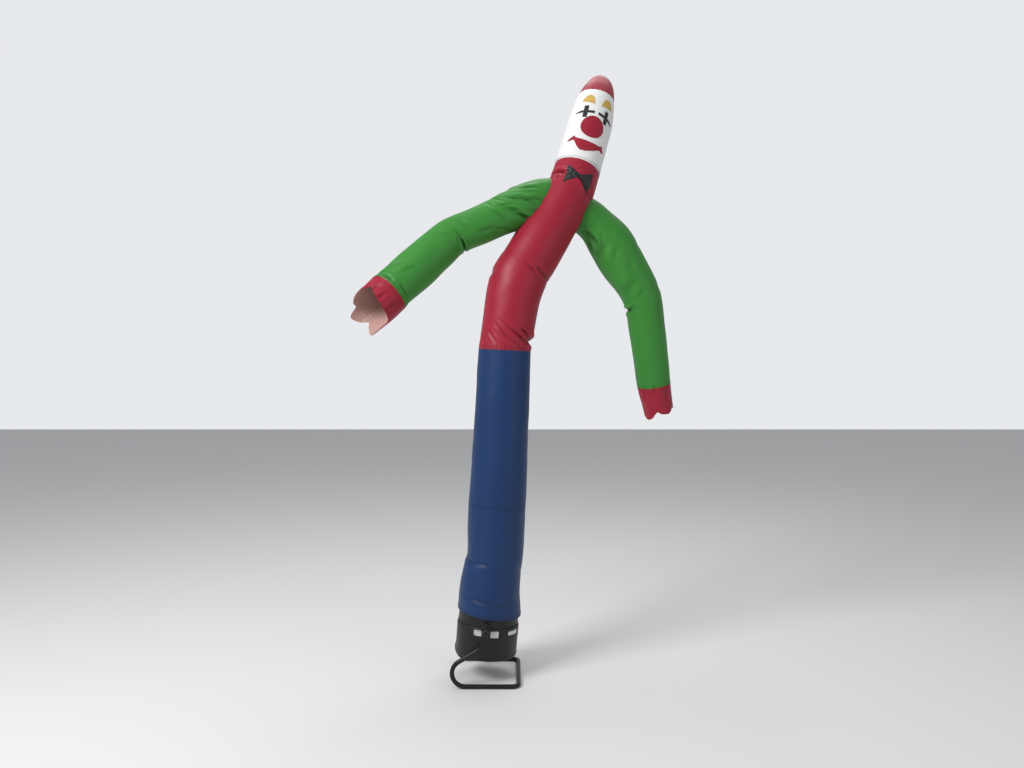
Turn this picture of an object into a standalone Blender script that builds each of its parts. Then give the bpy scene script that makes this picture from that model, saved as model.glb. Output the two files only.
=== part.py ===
"""Inflatable air dancer standing on its blower, in metres, with +Z up.

The figure's front faces -Y. Left and right are the viewer's. The shapes are worked out in a frame
whose floor point lies under the blower, and at the end everything moves so that the origin is the
middle of the part's footprint.

The cloth is a run of open tubes. A tube follows a middle line read from a short table of sections,
and its creases are troughs read from a table of folds. A turn around a tube is in degrees: 0 faces
the viewer, 90 is the side that a right hand rule about the tube's own direction gives.
"""
from collections import namedtuple
from itertools import product
from math import cos, degrees, exp, pi, radians, sin, tan

import bpy
import bmesh
from mathutils import Matrix, Vector
from mathutils.bvhtree import BVHTree

# Sheets and the gaps between pieces.
CLOTH = 0.002
PATCH = 0.001
PATCH_STEP = 0.013
GAP = 0.0003
SEAT_GAP = 0.0006
FOLD_LIFT = 0.0006

# How finely the tubes are faceted.
BODY_SIDES = 28
ARM_SIDES = 20
DRUM_SIDES = 40

# Blower and stand.
DRUM_RADIUS = 0.152
DRUM_WALL = 0.003
DRUM_BOTTOM = 0.112
DRUM_GROOVE = 0.272
DRUM_LEAN = 4.5
DRUM_LIP = 0.018
DRUM_X = -0.0074
COLLAR_RADIUS = 0.1476
COLLAR_TOP = 0.358
COLLAR_BEAD = 0.0025
COLLAR_GROOVE = 0.0015
COLLAR_SEAT = 0.006
GUARD_BAR = 0.005
GUARD_SIDES = 20
GUARD_RINGS = (1.0, 0.74, 0.48)
GUARD_PLATE = 0.24
PIVOT_HEIGHT = 0.274
PIVOT_X = 0.000
BOSS_RADIUS = 0.023
BOSS_REACH = 0.1965
KNOB_RADIUS = 0.021
KNOB_DEPTH = 0.026
KNOB_LOBES = 5
RAIL_RADIUS = 0.011
RAIL_SIDES = 12
STAND_HALF_WIDTH = 0.200
STAND_RIGHT = 0.156
STAND_CORNER = 0.036
STAND_BEND = 0.064
STAND_BEND_X = -0.099
STAND_SLOPE = 31.2
STAND_ELBOW_X = -0.0171
# Where the straight legs end and bend softly, as parts of the way from the elbow to either end.
EYE_END = 0.35
ELBOW_BELOW = 0.16
ELBOW_MIDDLE = 0.06
ELBOW_ABOVE = 0.35
ELBOW_LIFT = 0.004
EYE_THICKNESS = 0.006
EYE_WIDTH = 0.026

Section = namedtuple("Section", "name x y z across deep")
Fold = namedtuple("Fold", "along turn length width depth slant")
Span = namedtuple("Span", "at low high")
Cut = namedtuple("Cut", "turn length")
Stop = namedtuple("Stop", "section step")
Label = namedtuple("Label", "name colour turn height wide tall strips")

BODY_SECTIONS = [
    Section("hem", 0.0101, 0.000, 0.317, 0.1572, 0.1572),
    Section("over the drum", 0.0125, 0.000, 0.415, 0.1520, 0.1520),
    Section("below the first kink", 0.0267, 0.000, 0.535, 0.1430, 0.1430),
    Section("first kink", 0.0392, 0.000, 0.595, 0.1390, 0.1390),
    Section("shin", 0.0468, 0.000, 0.776, 0.1415, 0.1415),
    Section("leg seam", 0.0503, 0.000, 0.846, 0.1410, 0.1410),
    Section("knee", 0.0593, 0.000, 1.015, 0.1390, 0.1390),
    Section("thigh", 0.0743, 0.000, 1.313, 0.1335, 0.1335),
    Section("waist seam", 0.0882, 0.000, 1.619, 0.1280, 0.1280),
    Section("waist pinch", 0.0917, 0.001, 1.654, 0.1262, 0.1280),
    Section("belly", 0.1090, 0.005, 1.757, 0.1307, 0.1307),
    Section("below the kink", 0.1287, 0.010, 1.875, 0.1350, 0.1340),
    Section("kink start", 0.1495, 0.015, 1.949, 0.1375, 0.1350),
    Section("kink", 0.1680, 0.021, 1.993, 0.1370, 0.1350),
    Section("kink end", 0.1980, 0.030, 2.041, 0.1325, 0.1330),
    Section("chest", 0.2780, 0.060, 2.176, 0.1308, 0.1308),
    Section("upper chest", 0.3286, 0.085, 2.258, 0.1250, 0.1270),
    Section("armholes", 0.3880, 0.115, 2.362, 0.1218, 0.1240),
    Section("neck crease", 0.4240, 0.140, 2.438, 0.1200, 0.1220),
    Section("chin seam", 0.4540, 0.174, 2.528, 0.1175, 0.1175),
    Section("mouth height", 0.4825, 0.212, 2.627, 0.1163, 0.1163),
    Section("nose height", 0.5040, 0.242, 2.704, 0.1155, 0.1155),
    Section("eye height", 0.5260, 0.272, 2.778, 0.1145, 0.1145),
    Section("brow height", 0.5425, 0.299, 2.841, 0.1100, 0.1100),
    Section("cap seam", 0.5635, 0.332, 2.920, 0.0965, 0.0965),
    Section("cap side", 0.5810, 0.360, 2.983, 0.0790, 0.0790),
    Section("cap shoulder", 0.5900, 0.377, 3.027, 0.0560, 0.0560),
    Section("cap top", 0.5935, 0.387, 3.046, 0.0300, 0.0300),
]

LEFT_ARM_SECTIONS = [
    Section("inside torso", 0.3500, 0.105, 2.350, 0.1180, 0.0620),
    Section("root", 0.2750, 0.092, 2.352, 0.1240, 0.0740),
    Section("shoulder", 0.1640, 0.062, 2.325, 0.1085, 0.0920),
    Section("upper arm", 0.0640, 0.034, 2.279, 0.0970, 0.0940),
    Section("above elbow", -0.0440, 0.002, 2.227, 0.0925, 0.0915),
    Section("elbow", -0.1640, -0.022, 2.173, 0.0925, 0.0915),
    Section("below elbow", -0.2420, -0.051, 2.103, 0.0985, 0.0960),
    Section("forearm", -0.3465, -0.100, 2.0025, 0.1040, 0.1010),
    Section("cuff crease", -0.4380, -0.150, 1.914, 0.1005, 0.0980),
    Section("wrist", -0.4590, -0.164, 1.890, 0.1035, 0.1025),
    Section("palm", -0.5175, -0.200, 1.829, 0.1030, 0.1040),
    Section("fingers", -0.6025, -0.250, 1.754, 0.0960, 0.1000),
]

RIGHT_ARM_SECTIONS = [
    Section("inside torso", 0.4250, 0.145, 2.325, 0.0930, 0.0840),
    Section("root", 0.4930, 0.158, 2.299, 0.0965, 0.0920),
    Section("shoulder", 0.5526, 0.165, 2.250, 0.0985, 0.0960),
    Section("upper arm", 0.6218, 0.170, 2.169, 0.1160, 0.1070),
    Section("above elbow", 0.6882, 0.172, 2.0575, 0.1130, 0.1080),
    Section("elbow bend", 0.7522, 0.175, 1.960, 0.1025, 0.1010),
    Section("elbow", 0.7935, 0.180, 1.869, 0.0960, 0.0965),
    Section("below elbow", 0.8150, 0.194, 1.747, 0.0935, 0.0935),
    Section("forearm", 0.8370, 0.219, 1.608, 0.0910, 0.0910),
    Section("wrist", 0.8635, 0.256, 1.441, 0.0860, 0.0860),
    Section("palm", 0.8835, 0.274, 1.350, 0.0790, 0.0830),
    Section("fingers", 0.9040, 0.288, 1.250, 0.0720, 0.0780),
]

BODY_FOLDS = [
    Fold(along=0.246, turn=-52, length=0.26, width=0.012, depth=0.006, slant=1),
    Fold(along=0.084, turn=-12, length=0.36, width=0.014, depth=0.005, slant=-12),
    Fold(along=1.362, turn=92, length=0.28, width=0.020, depth=0.018, slant=-6),
    Fold(along=1.378, turn=33, length=0.34, width=0.014, depth=0.008, slant=-28),
    Fold(along=1.372, turn=-3, length=0.20, width=0.012, depth=0.005, slant=-38),
    Fold(along=1.714, turn=15, length=0.14, width=0.012, depth=0.006, slant=-10),
    Fold(along=1.731, turn=68, length=0.28, width=0.017, depth=0.014, slant=-4),
    Fold(along=2.232, turn=-46, length=0.28, width=0.015, depth=0.013, slant=-3),
    Fold(along=2.206, turn=27, length=0.22, width=0.015, depth=0.010, slant=-28),
]

LEFT_ARM_FOLDS = [
    Fold(along=0.190, turn=10, length=0.18, width=0.020, depth=0.010, slant=62),
    Fold(along=0.215, turn=-35, length=0.20, width=0.020, depth=0.012, slant=48),
    Fold(along=0.300, turn=55, length=0.16, width=0.022, depth=0.008, slant=30),
    Fold(along=0.548, turn=-55, length=0.24, width=0.016, depth=0.014, slant=0),
    Fold(along=0.978, turn=28, length=0.17, width=0.012, depth=0.008, slant=-3),
]

RIGHT_ARM_FOLDS = [
    Fold(along=0.170, turn=44, length=0.20, width=0.018, depth=0.012, slant=98),
    Fold(along=0.269, turn=40, length=0.16, width=0.030, depth=0.006, slant=25),
    Fold(along=0.635, turn=78, length=0.22, width=0.020, depth=0.013, slant=0),
    Fold(along=0.504, turn=30, length=0.16, width=0.030, depth=0.006, slant=20),
]
# How far the left arm's end seam slopes, and from how far before it.
LEFT_SEAM_SLOPE = -0.004
SLOPE_START = 0.160

# How far apart the rings of facets lie, from each named section to the next.
BODY_PANELS = [
    ("leg_lower", "blue", (Stop("hem", 0.048), Stop("below the first kink", 0.070), Stop("leg seam", 0))),
    ("leg_upper", "blue", (Stop("leg seam", 0.190), Stop("waist seam", 0))),
    ("torso_tube", "red", (
        Stop("waist seam", 0.027), Stop("belly", 0.060), Stop("below the kink", 0.031),
        Stop("kink end", 0.075), Stop("armholes", 0.027), Stop("chin seam", 0),
    )),
    ("head_band", "white", (Stop("chin seam", 0.080), Stop("brow height", 0.045), Stop("cap seam", 0))),
    ("cap", "red", (Stop("cap seam", 0.028), Stop("cap top", 0))),
]
ARM_STOPS = (
    Stop("inside torso", 0.048), Stop("upper arm", 0.065), Stop("above elbow", 0.048),
    Stop("below elbow", 0.078), Stop("forearm", 0.058), Stop("wrist", 0),
)

# How far the cut edge of each arm's end lies from its seam, by turn; it runs straight between.
LEFT_CUTS = [
    Cut(0, 0.102), Cut(20, 0.092), Cut(42, 0.072), Cut(69, 0.095), Cut(90, 0.125), Cut(110, 0.143),
    Cut(125, 0.152), Cut(140, 0.141), Cut(148, 0.188), Cut(157, 0.196), Cut(166, 0.190), Cut(184, 0.169),
    Cut(198, 0.134), Cut(209, 0.155), Cut(235, 0.183), Cut(258, 0.193), Cut(272, 0.157), Cut(284, 0.107),
    Cut(300, 0.104), Cut(340, 0.106), Cut(360, 0.102),
]
RIGHT_CUTS = [
    Cut(0, 0.150), Cut(14, 0.134), Cut(24, 0.146), Cut(38, 0.166), Cut(58, 0.176), Cut(80, 0.168),
    Cut(100, 0.154), Cut(120, 0.128), Cut(140, 0.120), Cut(160, 0.150), Cut(180, 0.125), Cut(205, 0.150),
    Cut(230, 0.122), Cut(255, 0.138), Cut(278, 0.148), Cut(300, 0.130), Cut(314, 0.150), Cut(330, 0.158),
    Cut(347, 0.154), Cut(360, 0.150),
]
CUFF_PARTS = (0, 0.30, 0.64, 1)
HAND_TURNS = (78, 276)
HAND_START = 0.006
HAND_OVERHANG = 0.003
HAND_GAP = 0.0006
# The hem dips towards one side of the figure.
HEM_RISE = 0.011
HEM_DIP = 0.0197
HEM_LOW = 61.5

# Patches, in metres around and up from each one's middle, the outer side of the face first.
FACE_TURN = 7.5
EYE_APART = 0.057
EYE_UP = 0.084
BROW_APART = 0.054
BROW_UP = 0.147
BROW_SPANS = [
    Span(-0.0350, 0.0050, 0.0080),
    Span(-0.0260, 0.0040, 0.0300),
    Span(-0.0130, 0.0010, 0.0460),
    Span(0.0000, -0.0010, 0.0505),
    Span(0.0130, -0.0030, 0.0460),
    Span(0.0260, -0.0055, 0.0260),
    Span(0.0340, -0.0085, -0.0055),
]
EYE_SPANS = [
    Span(-0.0540, -0.0120, -0.0090),
    Span(-0.0300, -0.0095, 0.0025),
    Span(-0.0110, -0.0070, 0.0060),
    Span(-0.0105, -0.0350, 0.0370),
    Span(0.0105, -0.0350, 0.0370),
    Span(0.0110, -0.0060, 0.0075),
    Span(0.0460, -0.0030, 0.0110),
]
MOUTH_SPANS = [
    Span(-0.1120, -0.0120, -0.0050),
    Span(-0.0960, -0.0080, 0.0080),
    Span(-0.0800, -0.0040, 0.0220),
    Span(-0.0720, -0.0120, 0.0100),
    Span(-0.0560, -0.0380, 0.0060),
    Span(-0.0340, -0.0590, 0.0030),
    Span(-0.0060, -0.0580, 0.0000),
    Span(0.0240, -0.0460, 0.0000),
    Span(0.0520, -0.0280, 0.0020),
    Span(0.0720, -0.0160, 0.0060),
    Span(0.0800, -0.0180, 0.0160),
    Span(0.0880, -0.0200, 0.0040),
    Span(0.1000, -0.0180, -0.0120),
]
BOW_TURN = 9.0
BOW_UP = 0.008
BOW_SPANS = [
    Span(-0.0710, -0.0560, 0.0420),
    Span(-0.0360, -0.0300, 0.0260),
    Span(-0.0130, -0.0140, 0.0140),
    Span(0.0130, -0.0140, 0.0140),
    Span(0.0360, -0.0300, 0.0280),
    Span(0.0710, -0.0540, 0.0460),
]
NOSE_RADIUS = 0.062
NOSE_UP = 0.004
NOSE_ROWS = 8

# What is stuck or sewn on the drum's side, by height above the drum's foot.
DRUM_TRIM = [
    Label("label_1", "label", turn=-17.5, height=0.138, wide=0.038, tall=0.027, strips=2),
    Label("label_2", "label", turn=14.0, height=0.1356, wide=0.040, tall=0.031, strips=2),
    Label("label_3", "label", turn=55.6, height=0.137, wide=0.070, tall=0.020, strips=3),
    Label("side_tab", "webbing", turn=84.0, height=0.130, wide=0.036, tall=0.056, strips=2),
]

COLOURS = {
    "blue": ((0.010, 0.052, 0.190), 0.42, 0.0),
    "red": ((0.310, 0.012, 0.035), 0.42, 0.0),
    "green": ((0.045, 0.260, 0.040), 0.42, 0.0),
    "white": ((0.720, 0.720, 0.710), 0.45, 0.0),
    "flesh": ((0.480, 0.290, 0.250), 0.50, 0.0),
    "gold": ((0.560, 0.330, 0.070), 0.50, 0.0),
    "black cloth": ((0.025, 0.026, 0.028), 0.55, 0.0),
    "drum": ((0.016, 0.017, 0.017), 0.45, 0.0),
    "rail": ((0.014, 0.014, 0.016), 0.35, 0.6),
    "knob": ((0.010, 0.010, 0.010), 0.50, 0.0),
    "label": ((0.620, 0.630, 0.620), 0.50, 0.0),
    "webbing": ((0.420, 0.130, 0.030), 0.70, 0.0),
}


class Line:
    """A tube's middle line and half widths, read smoothly between its named sections."""

    def __init__(self, sections, folds=()):
        self.sections = sections
        self.folds = folds
        self.reach = [0.0]
        for before, after in zip(sections, sections[1:]):
            step = Vector(after[1:4]) - Vector(before[1:4])
            self.reach.append(self.reach[-1] + step.length)

    def to(self, name):
        """Distance along the line to the section of this name."""
        names = [section.name for section in self.sections]
        return self.reach[names.index(name)]

    def slope(self, index):
        """How the section's values change with distance, there."""
        before, after = max(index - 1, 0), min(index + 1, len(self.reach) - 1)
        span = self.reach[after] - self.reach[before]
        pairs = zip(self.sections[before][1:], self.sections[after][1:])
        return [(high - low) / span for low, high in pairs]

    def at(self, distance):
        """Middle, half width across and half width deep at a distance along the line."""
        last = len(self.reach) - 2
        index = next((i for i in range(last) if distance < self.reach[i + 1]), last)
        span = self.reach[index + 1] - self.reach[index]
        part = (distance - self.reach[index]) / span
        start_slope, end_slope = self.slope(index), self.slope(index + 1)
        values = []
        for column in range(5):
            start, end = self.sections[index][column + 1], self.sections[index + 1][column + 1]
            values.append(
                (2 * part**3 - 3 * part**2 + 1) * start
                + (part**3 - 2 * part**2 + part) * span * start_slope[column]
                + (3 * part**2 - 2 * part**3) * end
                + (part**3 - part**2) * span * end_slope[column]
            )
        return Vector(values[:3]), values[3], values[4]

    def across(self, distance, turn):
        """The middle, and the spoke from it to the smooth skin, at one place."""
        step = 0.002
        middle, wide, deep = self.at(distance)
        along = (self.at(distance + step)[0] - self.at(distance - step)[0]).normalized()
        front = Vector((0, -1, 0))
        front = (front - along * front.dot(along)).normalized()
        side = along.cross(front)
        angle = radians(turn)
        return middle, front * (deep * cos(angle)) + side * (wide * sin(angle))

    def dip(self, distance, turn, radius):
        """Depth of the folds at one place."""
        total = 0.0
        for fold in self.folds:
            around = radians((turn - fold.turn + 180) % 360 - 180) * radius
            up = distance - fold.along
            lean = radians(fold.slant)
            lengthwise = around * cos(lean) + up * sin(lean)
            crosswise = up * cos(lean) - around * sin(lean)
            if abs(lengthwise) < fold.length / 2:
                fade = cos(pi * lengthwise / fold.length) ** 2
                total += fold.depth * fade * exp(-(crosswise / fold.width) ** 2)
        return total

    def skin(self, distance, turn, out=0.0):
        """A point of the outer face, moved out by a distance."""
        middle, spoke = self.across(distance, turn)
        radius = spoke.length
        return middle + spoke * ((radius + out - self.dip(distance, turn, radius)) / radius)


def material(name):
    """The named colour as a material, made once."""
    found = bpy.data.materials.get(name)
    if found:
        return found
    colour, roughness, metallic = COLOURS[name]
    made = bpy.data.materials.new(name)
    made.use_nodes = True
    shader = made.node_tree.nodes["Principled BSDF"]
    shader.inputs["Base Color"].default_value = (*colour, 1)
    shader.inputs["Roughness"].default_value = roughness
    shader.inputs["Metallic"].default_value = metallic
    return made


def solid(name, points, faces, colour):
    """One closed object from points and faces, with its faces turned outwards."""
    mesh = bpy.data.meshes.new(name)
    mesh.from_pydata(points, [], faces)
    shape = bmesh.new()
    shape.from_mesh(mesh)
    bmesh.ops.recalc_face_normals(shape, faces=shape.faces)
    shape.to_mesh(mesh)
    shape.free()
    mesh.shade_smooth()
    mesh.set_sharp_from_angle(angle=radians(40))
    mesh.materials.append(material(colour))
    made = bpy.data.objects.new(name, mesh)
    bpy.context.scene.collection.objects.link(made)
    return made


def grid_faces(rows, columns, first=0, closed=True):
    """Quads between rows of points, each row being a ring or an open strip."""
    steps = columns if closed else columns - 1
    return [
        (
            first + row * columns + column,
            first + row * columns + (column + 1) % columns,
            first + (row + 1) * columns + (column + 1) % columns,
            first + (row + 1) * columns + column,
        )
        for row in range(rows - 1)
        for column in range(steps)
    ]


def spread(start, end, step):
    """Even places from start to end, about a step apart."""
    count = max(1, round((end - start) / step))
    return [start + (end - start) * index / count for index in range(count + 1)]


def turns_of(sides):
    """Even turns around a tube, in degrees."""
    return [360 * index / sides for index in range(sides)]


def sheet_tube(name, line, rings, sides, colour, closed_top=False):
    """A sheet tube through rings of places along the line, each a number or a list by turn."""
    turns = turns_of(sides)
    outer, inner = [], []
    for ring in rings:
        places = ring if isinstance(ring, list) else [ring] * sides
        for place, turn in zip(places, turns):
            outer.append(line.skin(place, turn))
            inner.append(line.skin(place, turn, -CLOTH))
    if closed_top:
        lift = (outer[-1] - inner[-1]).length
        rise = (line.at(rings[-1])[0] - line.at(rings[-1] - lift)[0]).normalized()
        inner[-sides:] = [point - rise * CLOTH for point in inner[-sides:]]
    count = len(outer)
    faces = grid_faces(len(rings), sides) + grid_faces(len(rings), sides, count)
    for side in range(sides):
        after = (side + 1) % sides
        faces.append((side, after, count + after, count + side))
        if not closed_top:
            top = count - sides
            faces.append((top + side, top + after, count + top + after, count + top + side))
    if closed_top:
        faces.append(tuple(range(count - sides, count)))
        faces.append(tuple(range(2 * count - sides, 2 * count)))
    return solid(name, outer + inner, faces, colour)


def filled_tube(name, line, places, sides, out):
    """A filled tube that only cuts its neighbours."""
    turns = turns_of(sides)
    points = [line.skin(place, turn, out) for place in places for turn in turns]
    last = len(points) - sides
    faces = grid_faces(len(places), sides)
    faces += [tuple(range(sides)), tuple(range(last, last + sides))]
    return as_cutter(solid(name, points, faces, "knob"))


def as_cutter(piece):
    """Keep a piece only as a modifier's operand."""
    piece.hide_render = True
    piece.display_type = "WIRE"
    return piece


def cut(piece, cutter):
    """Take the cutter's shape away from a piece."""
    modifier = piece.modifiers.new("cut", "BOOLEAN")
    modifier.operation = "DIFFERENCE"
    modifier.object = cutter


def seat(surface, line, distance, turn):
    """How far out the faceted skin stands around one place."""
    reach = 0.009
    start_out = 0.06
    best = 0.0
    for up, around in product((0.0, reach, -reach), repeat=2):
        middle, spoke = line.across(distance + up, turn + degrees(around / DRUM_RADIUS))
        outward = spoke.normalized()
        start = middle + outward * (spoke.length + start_out)
        hit = surface.ray_cast(start, -outward)
        if hit[0]:
            best = max(best, spoke.length + start_out - hit[3])
    return best


def finer(spans):
    """The same outline with spans close enough together to follow the tube's round."""
    rows = [spans[0]]
    for before, after in zip(spans, spans[1:]):
        for part in spread(0.0, 1.0, min(1.0, PATCH_STEP / (after.at - before.at)))[1:]:
            rows.append(Span(*(low + (high - low) * part for low, high in zip(before, after))))
    return rows


def patch(name, line, middle, turn, spans, columns, colour, surface=None, mirrored=False, lift=0.0):
    """A thin sewn-on patch whose outline is a table of spans around the tube."""
    flip = -1 if mirrored else 1
    spans = finer(spans)
    lower, upper = [], []
    for span in spans:
        for column in range(columns + 1):
            up = span.low + (span.high - span.low) * column / columns
            distance = middle + up
            radius = line.at(distance)[1]
            place_turn = turn + degrees(flip * span.at / radius)
            centre, spoke = line.across(distance, place_turn)
            outward = spoke.normalized()
            rest = lift + (seat(surface, line, distance, place_turn) if surface else spoke.length)
            lower.append(centre + outward * (rest + SEAT_GAP))
            upper.append(centre + outward * (rest + SEAT_GAP + PATCH))
    return thin_solid(name, lower, upper, len(spans), columns + 1, colour)


def thin_solid(name, lower, upper, rows, columns, colour):
    """A thin closed solid between two like grids of points."""
    count = len(lower)
    faces = grid_faces(rows, columns, 0, closed=False) + grid_faces(rows, columns, count, closed=False)
    rim = list(range(columns))
    rim += [row * columns + columns - 1 for row in range(1, rows)]
    rim += [(rows - 1) * columns + column for column in range(columns - 2, -1, -1)]
    rim += [row * columns for row in range(rows - 2, 0, -1)]
    for start, end in zip(rim, rim[1:] + rim[:1]):
        faces.append((start, end, count + end, count + start))
    return solid(name, lower + upper, faces, colour)


def turned(name, profile, sides, colour):
    """A closed profile of radius and height, turned about the upright axis."""
    points = [
        Vector((radius * sin(radians(turn)), -radius * cos(radians(turn)), height))
        for radius, height in profile
        for turn in turns_of(sides)
    ]
    rings = len(profile)
    faces = grid_faces(rings, sides)
    last = (rings - 1) * sides
    for side in range(sides):
        after = (side + 1) % sides
        faces.append((side, after, last + after, last + side))
    return solid(name, points, faces, colour)


def lean_drum(piece):
    """Lean a piece with the drum, about the drum's foot."""
    foot = Matrix.Translation((DRUM_X, 0, DRUM_BOTTOM))
    piece.matrix_world = foot @ Matrix.Rotation(radians(DRUM_LEAN), 4, "Y")
    return piece


def cut_length(cuts, turn):
    """How far the cut edge lies from the seam at one turn."""
    after = next(index for index, row in enumerate(cuts) if row.turn >= turn)
    low, high = cuts[max(after - 1, 0)], cuts[after]
    part = (turn - low.turn) / max(1, high.turn - low.turn)
    return low.length + (high.length - low.length) * part


def ring_places(line, stops):
    """Places of rings through named sections, each with the step from there to the next one."""
    places = [line.to(stops[0].section)]
    for before, after in zip(stops, stops[1:]):
        places += spread(line.to(before.section), line.to(after.section), before.step)[1:]
    places[-1] -= GAP
    return places


def hem_place(line, turn):
    """Where the dipping hem lies along the line at one turn."""
    return line.to("hem") + HEM_RISE - HEM_DIP * cos(radians(turn - HEM_LOW))


def make_body():
    """The tubes of the figure's body, in one run from the hem to the cap."""
    line = Line(BODY_SECTIONS, BODY_FOLDS)
    made = {}
    for name, colour, stops in BODY_PANELS:
        rings = ring_places(line, stops)
        if name == "leg_lower":
            rings[0] = [hem_place(line, turn) for turn in turns_of(BODY_SIDES)]
        made[name] = sheet_tube(name, line, rings, BODY_SIDES, colour, closed_top=name == "cap")
        if name == "torso_tube":
            made["torso_cutter"] = filled_tube("torso_cutter", line, rings, BODY_SIDES, GAP)
    return line, made


def sloped(line, place, sides, slope):
    """One ring of an arm, which slopes more and more towards the seam at the wrist."""
    near = min(1.0, max(0.0, 1 - (line.to("wrist") - place) / SLOPE_START))
    return [place + slope * near**2 * sin(radians(turn)) for turn in turns_of(sides)]


def make_sleeve(name, line, body, slope):
    """A sleeve cut at its root to lie on the torso, whose armhole it is sewn round."""
    rings = [sloped(line, place, ARM_SIDES, slope) for place in ring_places(line, ARM_STOPS)]
    sleeve = sheet_tube(f"sleeve_{name}", line, rings, ARM_SIDES, "green")
    cut(sleeve, body["torso_cutter"])
    hole_places = [place for place in ring_places(line, ARM_STOPS) if place < line.to("upper arm")]
    hole_cutter = filled_tube(f"armhole_cutter_{name}", line, hole_places, ARM_SIDES, -CLOTH - GAP)
    cut(body["torso_tube"], hole_cutter)


def cuff_rings(line, cuts, slope):
    """Rings of the cuff, whose last one follows the cut fingers."""
    turns = turns_of(ARM_SIDES * 2)
    seam = sloped(line, line.to("wrist"), ARM_SIDES * 2, slope)
    ends = [cut_length(cuts, turn) for turn in turns]
    return [[first + end * part for first, end in zip(seam, ends)] for part in CUFF_PARTS]


def make_cuff(name, line, cuts, slope):
    """The red end of an arm, with its fingers cut into the edge."""
    sheet_tube(f"cuff_{name}", line, cuff_rings(line, cuts, slope), ARM_SIDES * 2, "red")


def make_hand(line, cuts, slope):
    """The flesh-coloured panel inside the far half of the left cuff."""
    turns = turns_of(ARM_SIDES * 2)
    kept = [index for index, turn in enumerate(turns) if HAND_TURNS[0] <= turn <= HAND_TURNS[1]]
    rings = cuff_rings(line, cuts, slope)
    rings[0] = [place + HAND_START for place in rings[0]]
    rings[-1] = [place + HAND_OVERHANG for place in rings[-1]]
    outside = -CLOTH - HAND_GAP
    inside = outside - CLOTH
    lower = [line.skin(ring[index], turns[index], inside) for ring in rings for index in kept]
    upper = [line.skin(ring[index], turns[index], outside) for ring in rings for index in kept]
    thin_solid("hand_left", lower, upper, len(rings), len(kept), "flesh")


def surface_of(piece):
    """The faceted skin of a finished piece, for seating patches on it."""
    bpy.context.view_layer.update()
    return BVHTree.FromObject(piece, bpy.context.evaluated_depsgraph_get())


def make_face(line, head_band):
    """The sewn-on face: brows, crossed eyes, nose and mouth."""
    skin = surface_of(head_band)
    nose = line.to("nose height")
    radius = line.at(nose)[1]
    for name, way in (("left", -1), ("right", 1)):
        brow_turn = FACE_TURN + way * degrees(BROW_APART / radius)
        eye_turn = FACE_TURN + way * degrees(EYE_APART / radius)
        mirrored = way > 0
        patch(f"brow_{name}", line, nose + BROW_UP, brow_turn, BROW_SPANS, 3, "gold", skin, mirrored)
        patch(f"eye_{name}", line, nose + EYE_UP, eye_turn, EYE_SPANS, 5, "black cloth", skin, mirrored)
    disc = []
    for row in range(NOSE_ROWS + 1):
        angle = radians(5 + 170 * row / NOSE_ROWS)
        disc.append(Span(-NOSE_RADIUS * cos(angle), -NOSE_RADIUS * sin(angle), NOSE_RADIUS * sin(angle)))
    patch("nose", line, nose + NOSE_UP, FACE_TURN, disc, 5, "red", skin)
    patch("mouth", line, line.to("mouth height"), FACE_TURN, MOUTH_SPANS, 3, "red", skin)


def make_bow_tie(line, torso_tube):
    """The flat bow sewn over the crease of the neck."""
    middle = line.to("neck crease") + BOW_UP
    skin = surface_of(torso_tube)
    patch("bow_tie", line, middle, BOW_TURN, BOW_SPANS, 6, "black cloth", skin, lift=FOLD_LIFT)


def make_drum():
    """The blower's housing, collar and guard, leaning together."""
    top = DRUM_GROOVE - DRUM_BOTTOM
    inner = DRUM_RADIUS - DRUM_WALL
    body = [
        (inner - DRUM_LIP, 0), (DRUM_RADIUS - 0.010, 0), (DRUM_RADIUS - 0.003, 0.003),
        (DRUM_RADIUS, 0.010), (DRUM_RADIUS, top - 0.004), (DRUM_RADIUS - 0.002, top),
        (inner - COLLAR_SEAT, top), (inner - COLLAR_SEAT, top - DRUM_WALL), (inner, top - DRUM_WALL),
        (inner, 0.010), (inner - DRUM_LIP, DRUM_WALL),
    ]
    lean_drum(turned("drum_body", body, DRUM_SIDES, "drum"))
    low, high = top + GAP, COLLAR_TOP - DRUM_BOTTOM
    bore = COLLAR_RADIUS - DRUM_WALL
    collar = [
        (bore, low), (COLLAR_RADIUS - COLLAR_GROOVE, low), (COLLAR_RADIUS - COLLAR_GROOVE, low + 0.004),
        (COLLAR_RADIUS, low + 0.006), (COLLAR_RADIUS, high - 0.012), (COLLAR_RADIUS + COLLAR_BEAD, high - 0.008),
        (COLLAR_RADIUS + COLLAR_BEAD, high - 0.003), (COLLAR_RADIUS, high), (bore, high),
    ]
    lean_drum(turned("drum_collar", collar, DRUM_SIDES, "drum"))
    facet_dip = inner * (1 - cos(pi / DRUM_SIDES))
    make_guard(inner - DRUM_LIP - facet_dip - GAP)


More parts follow.
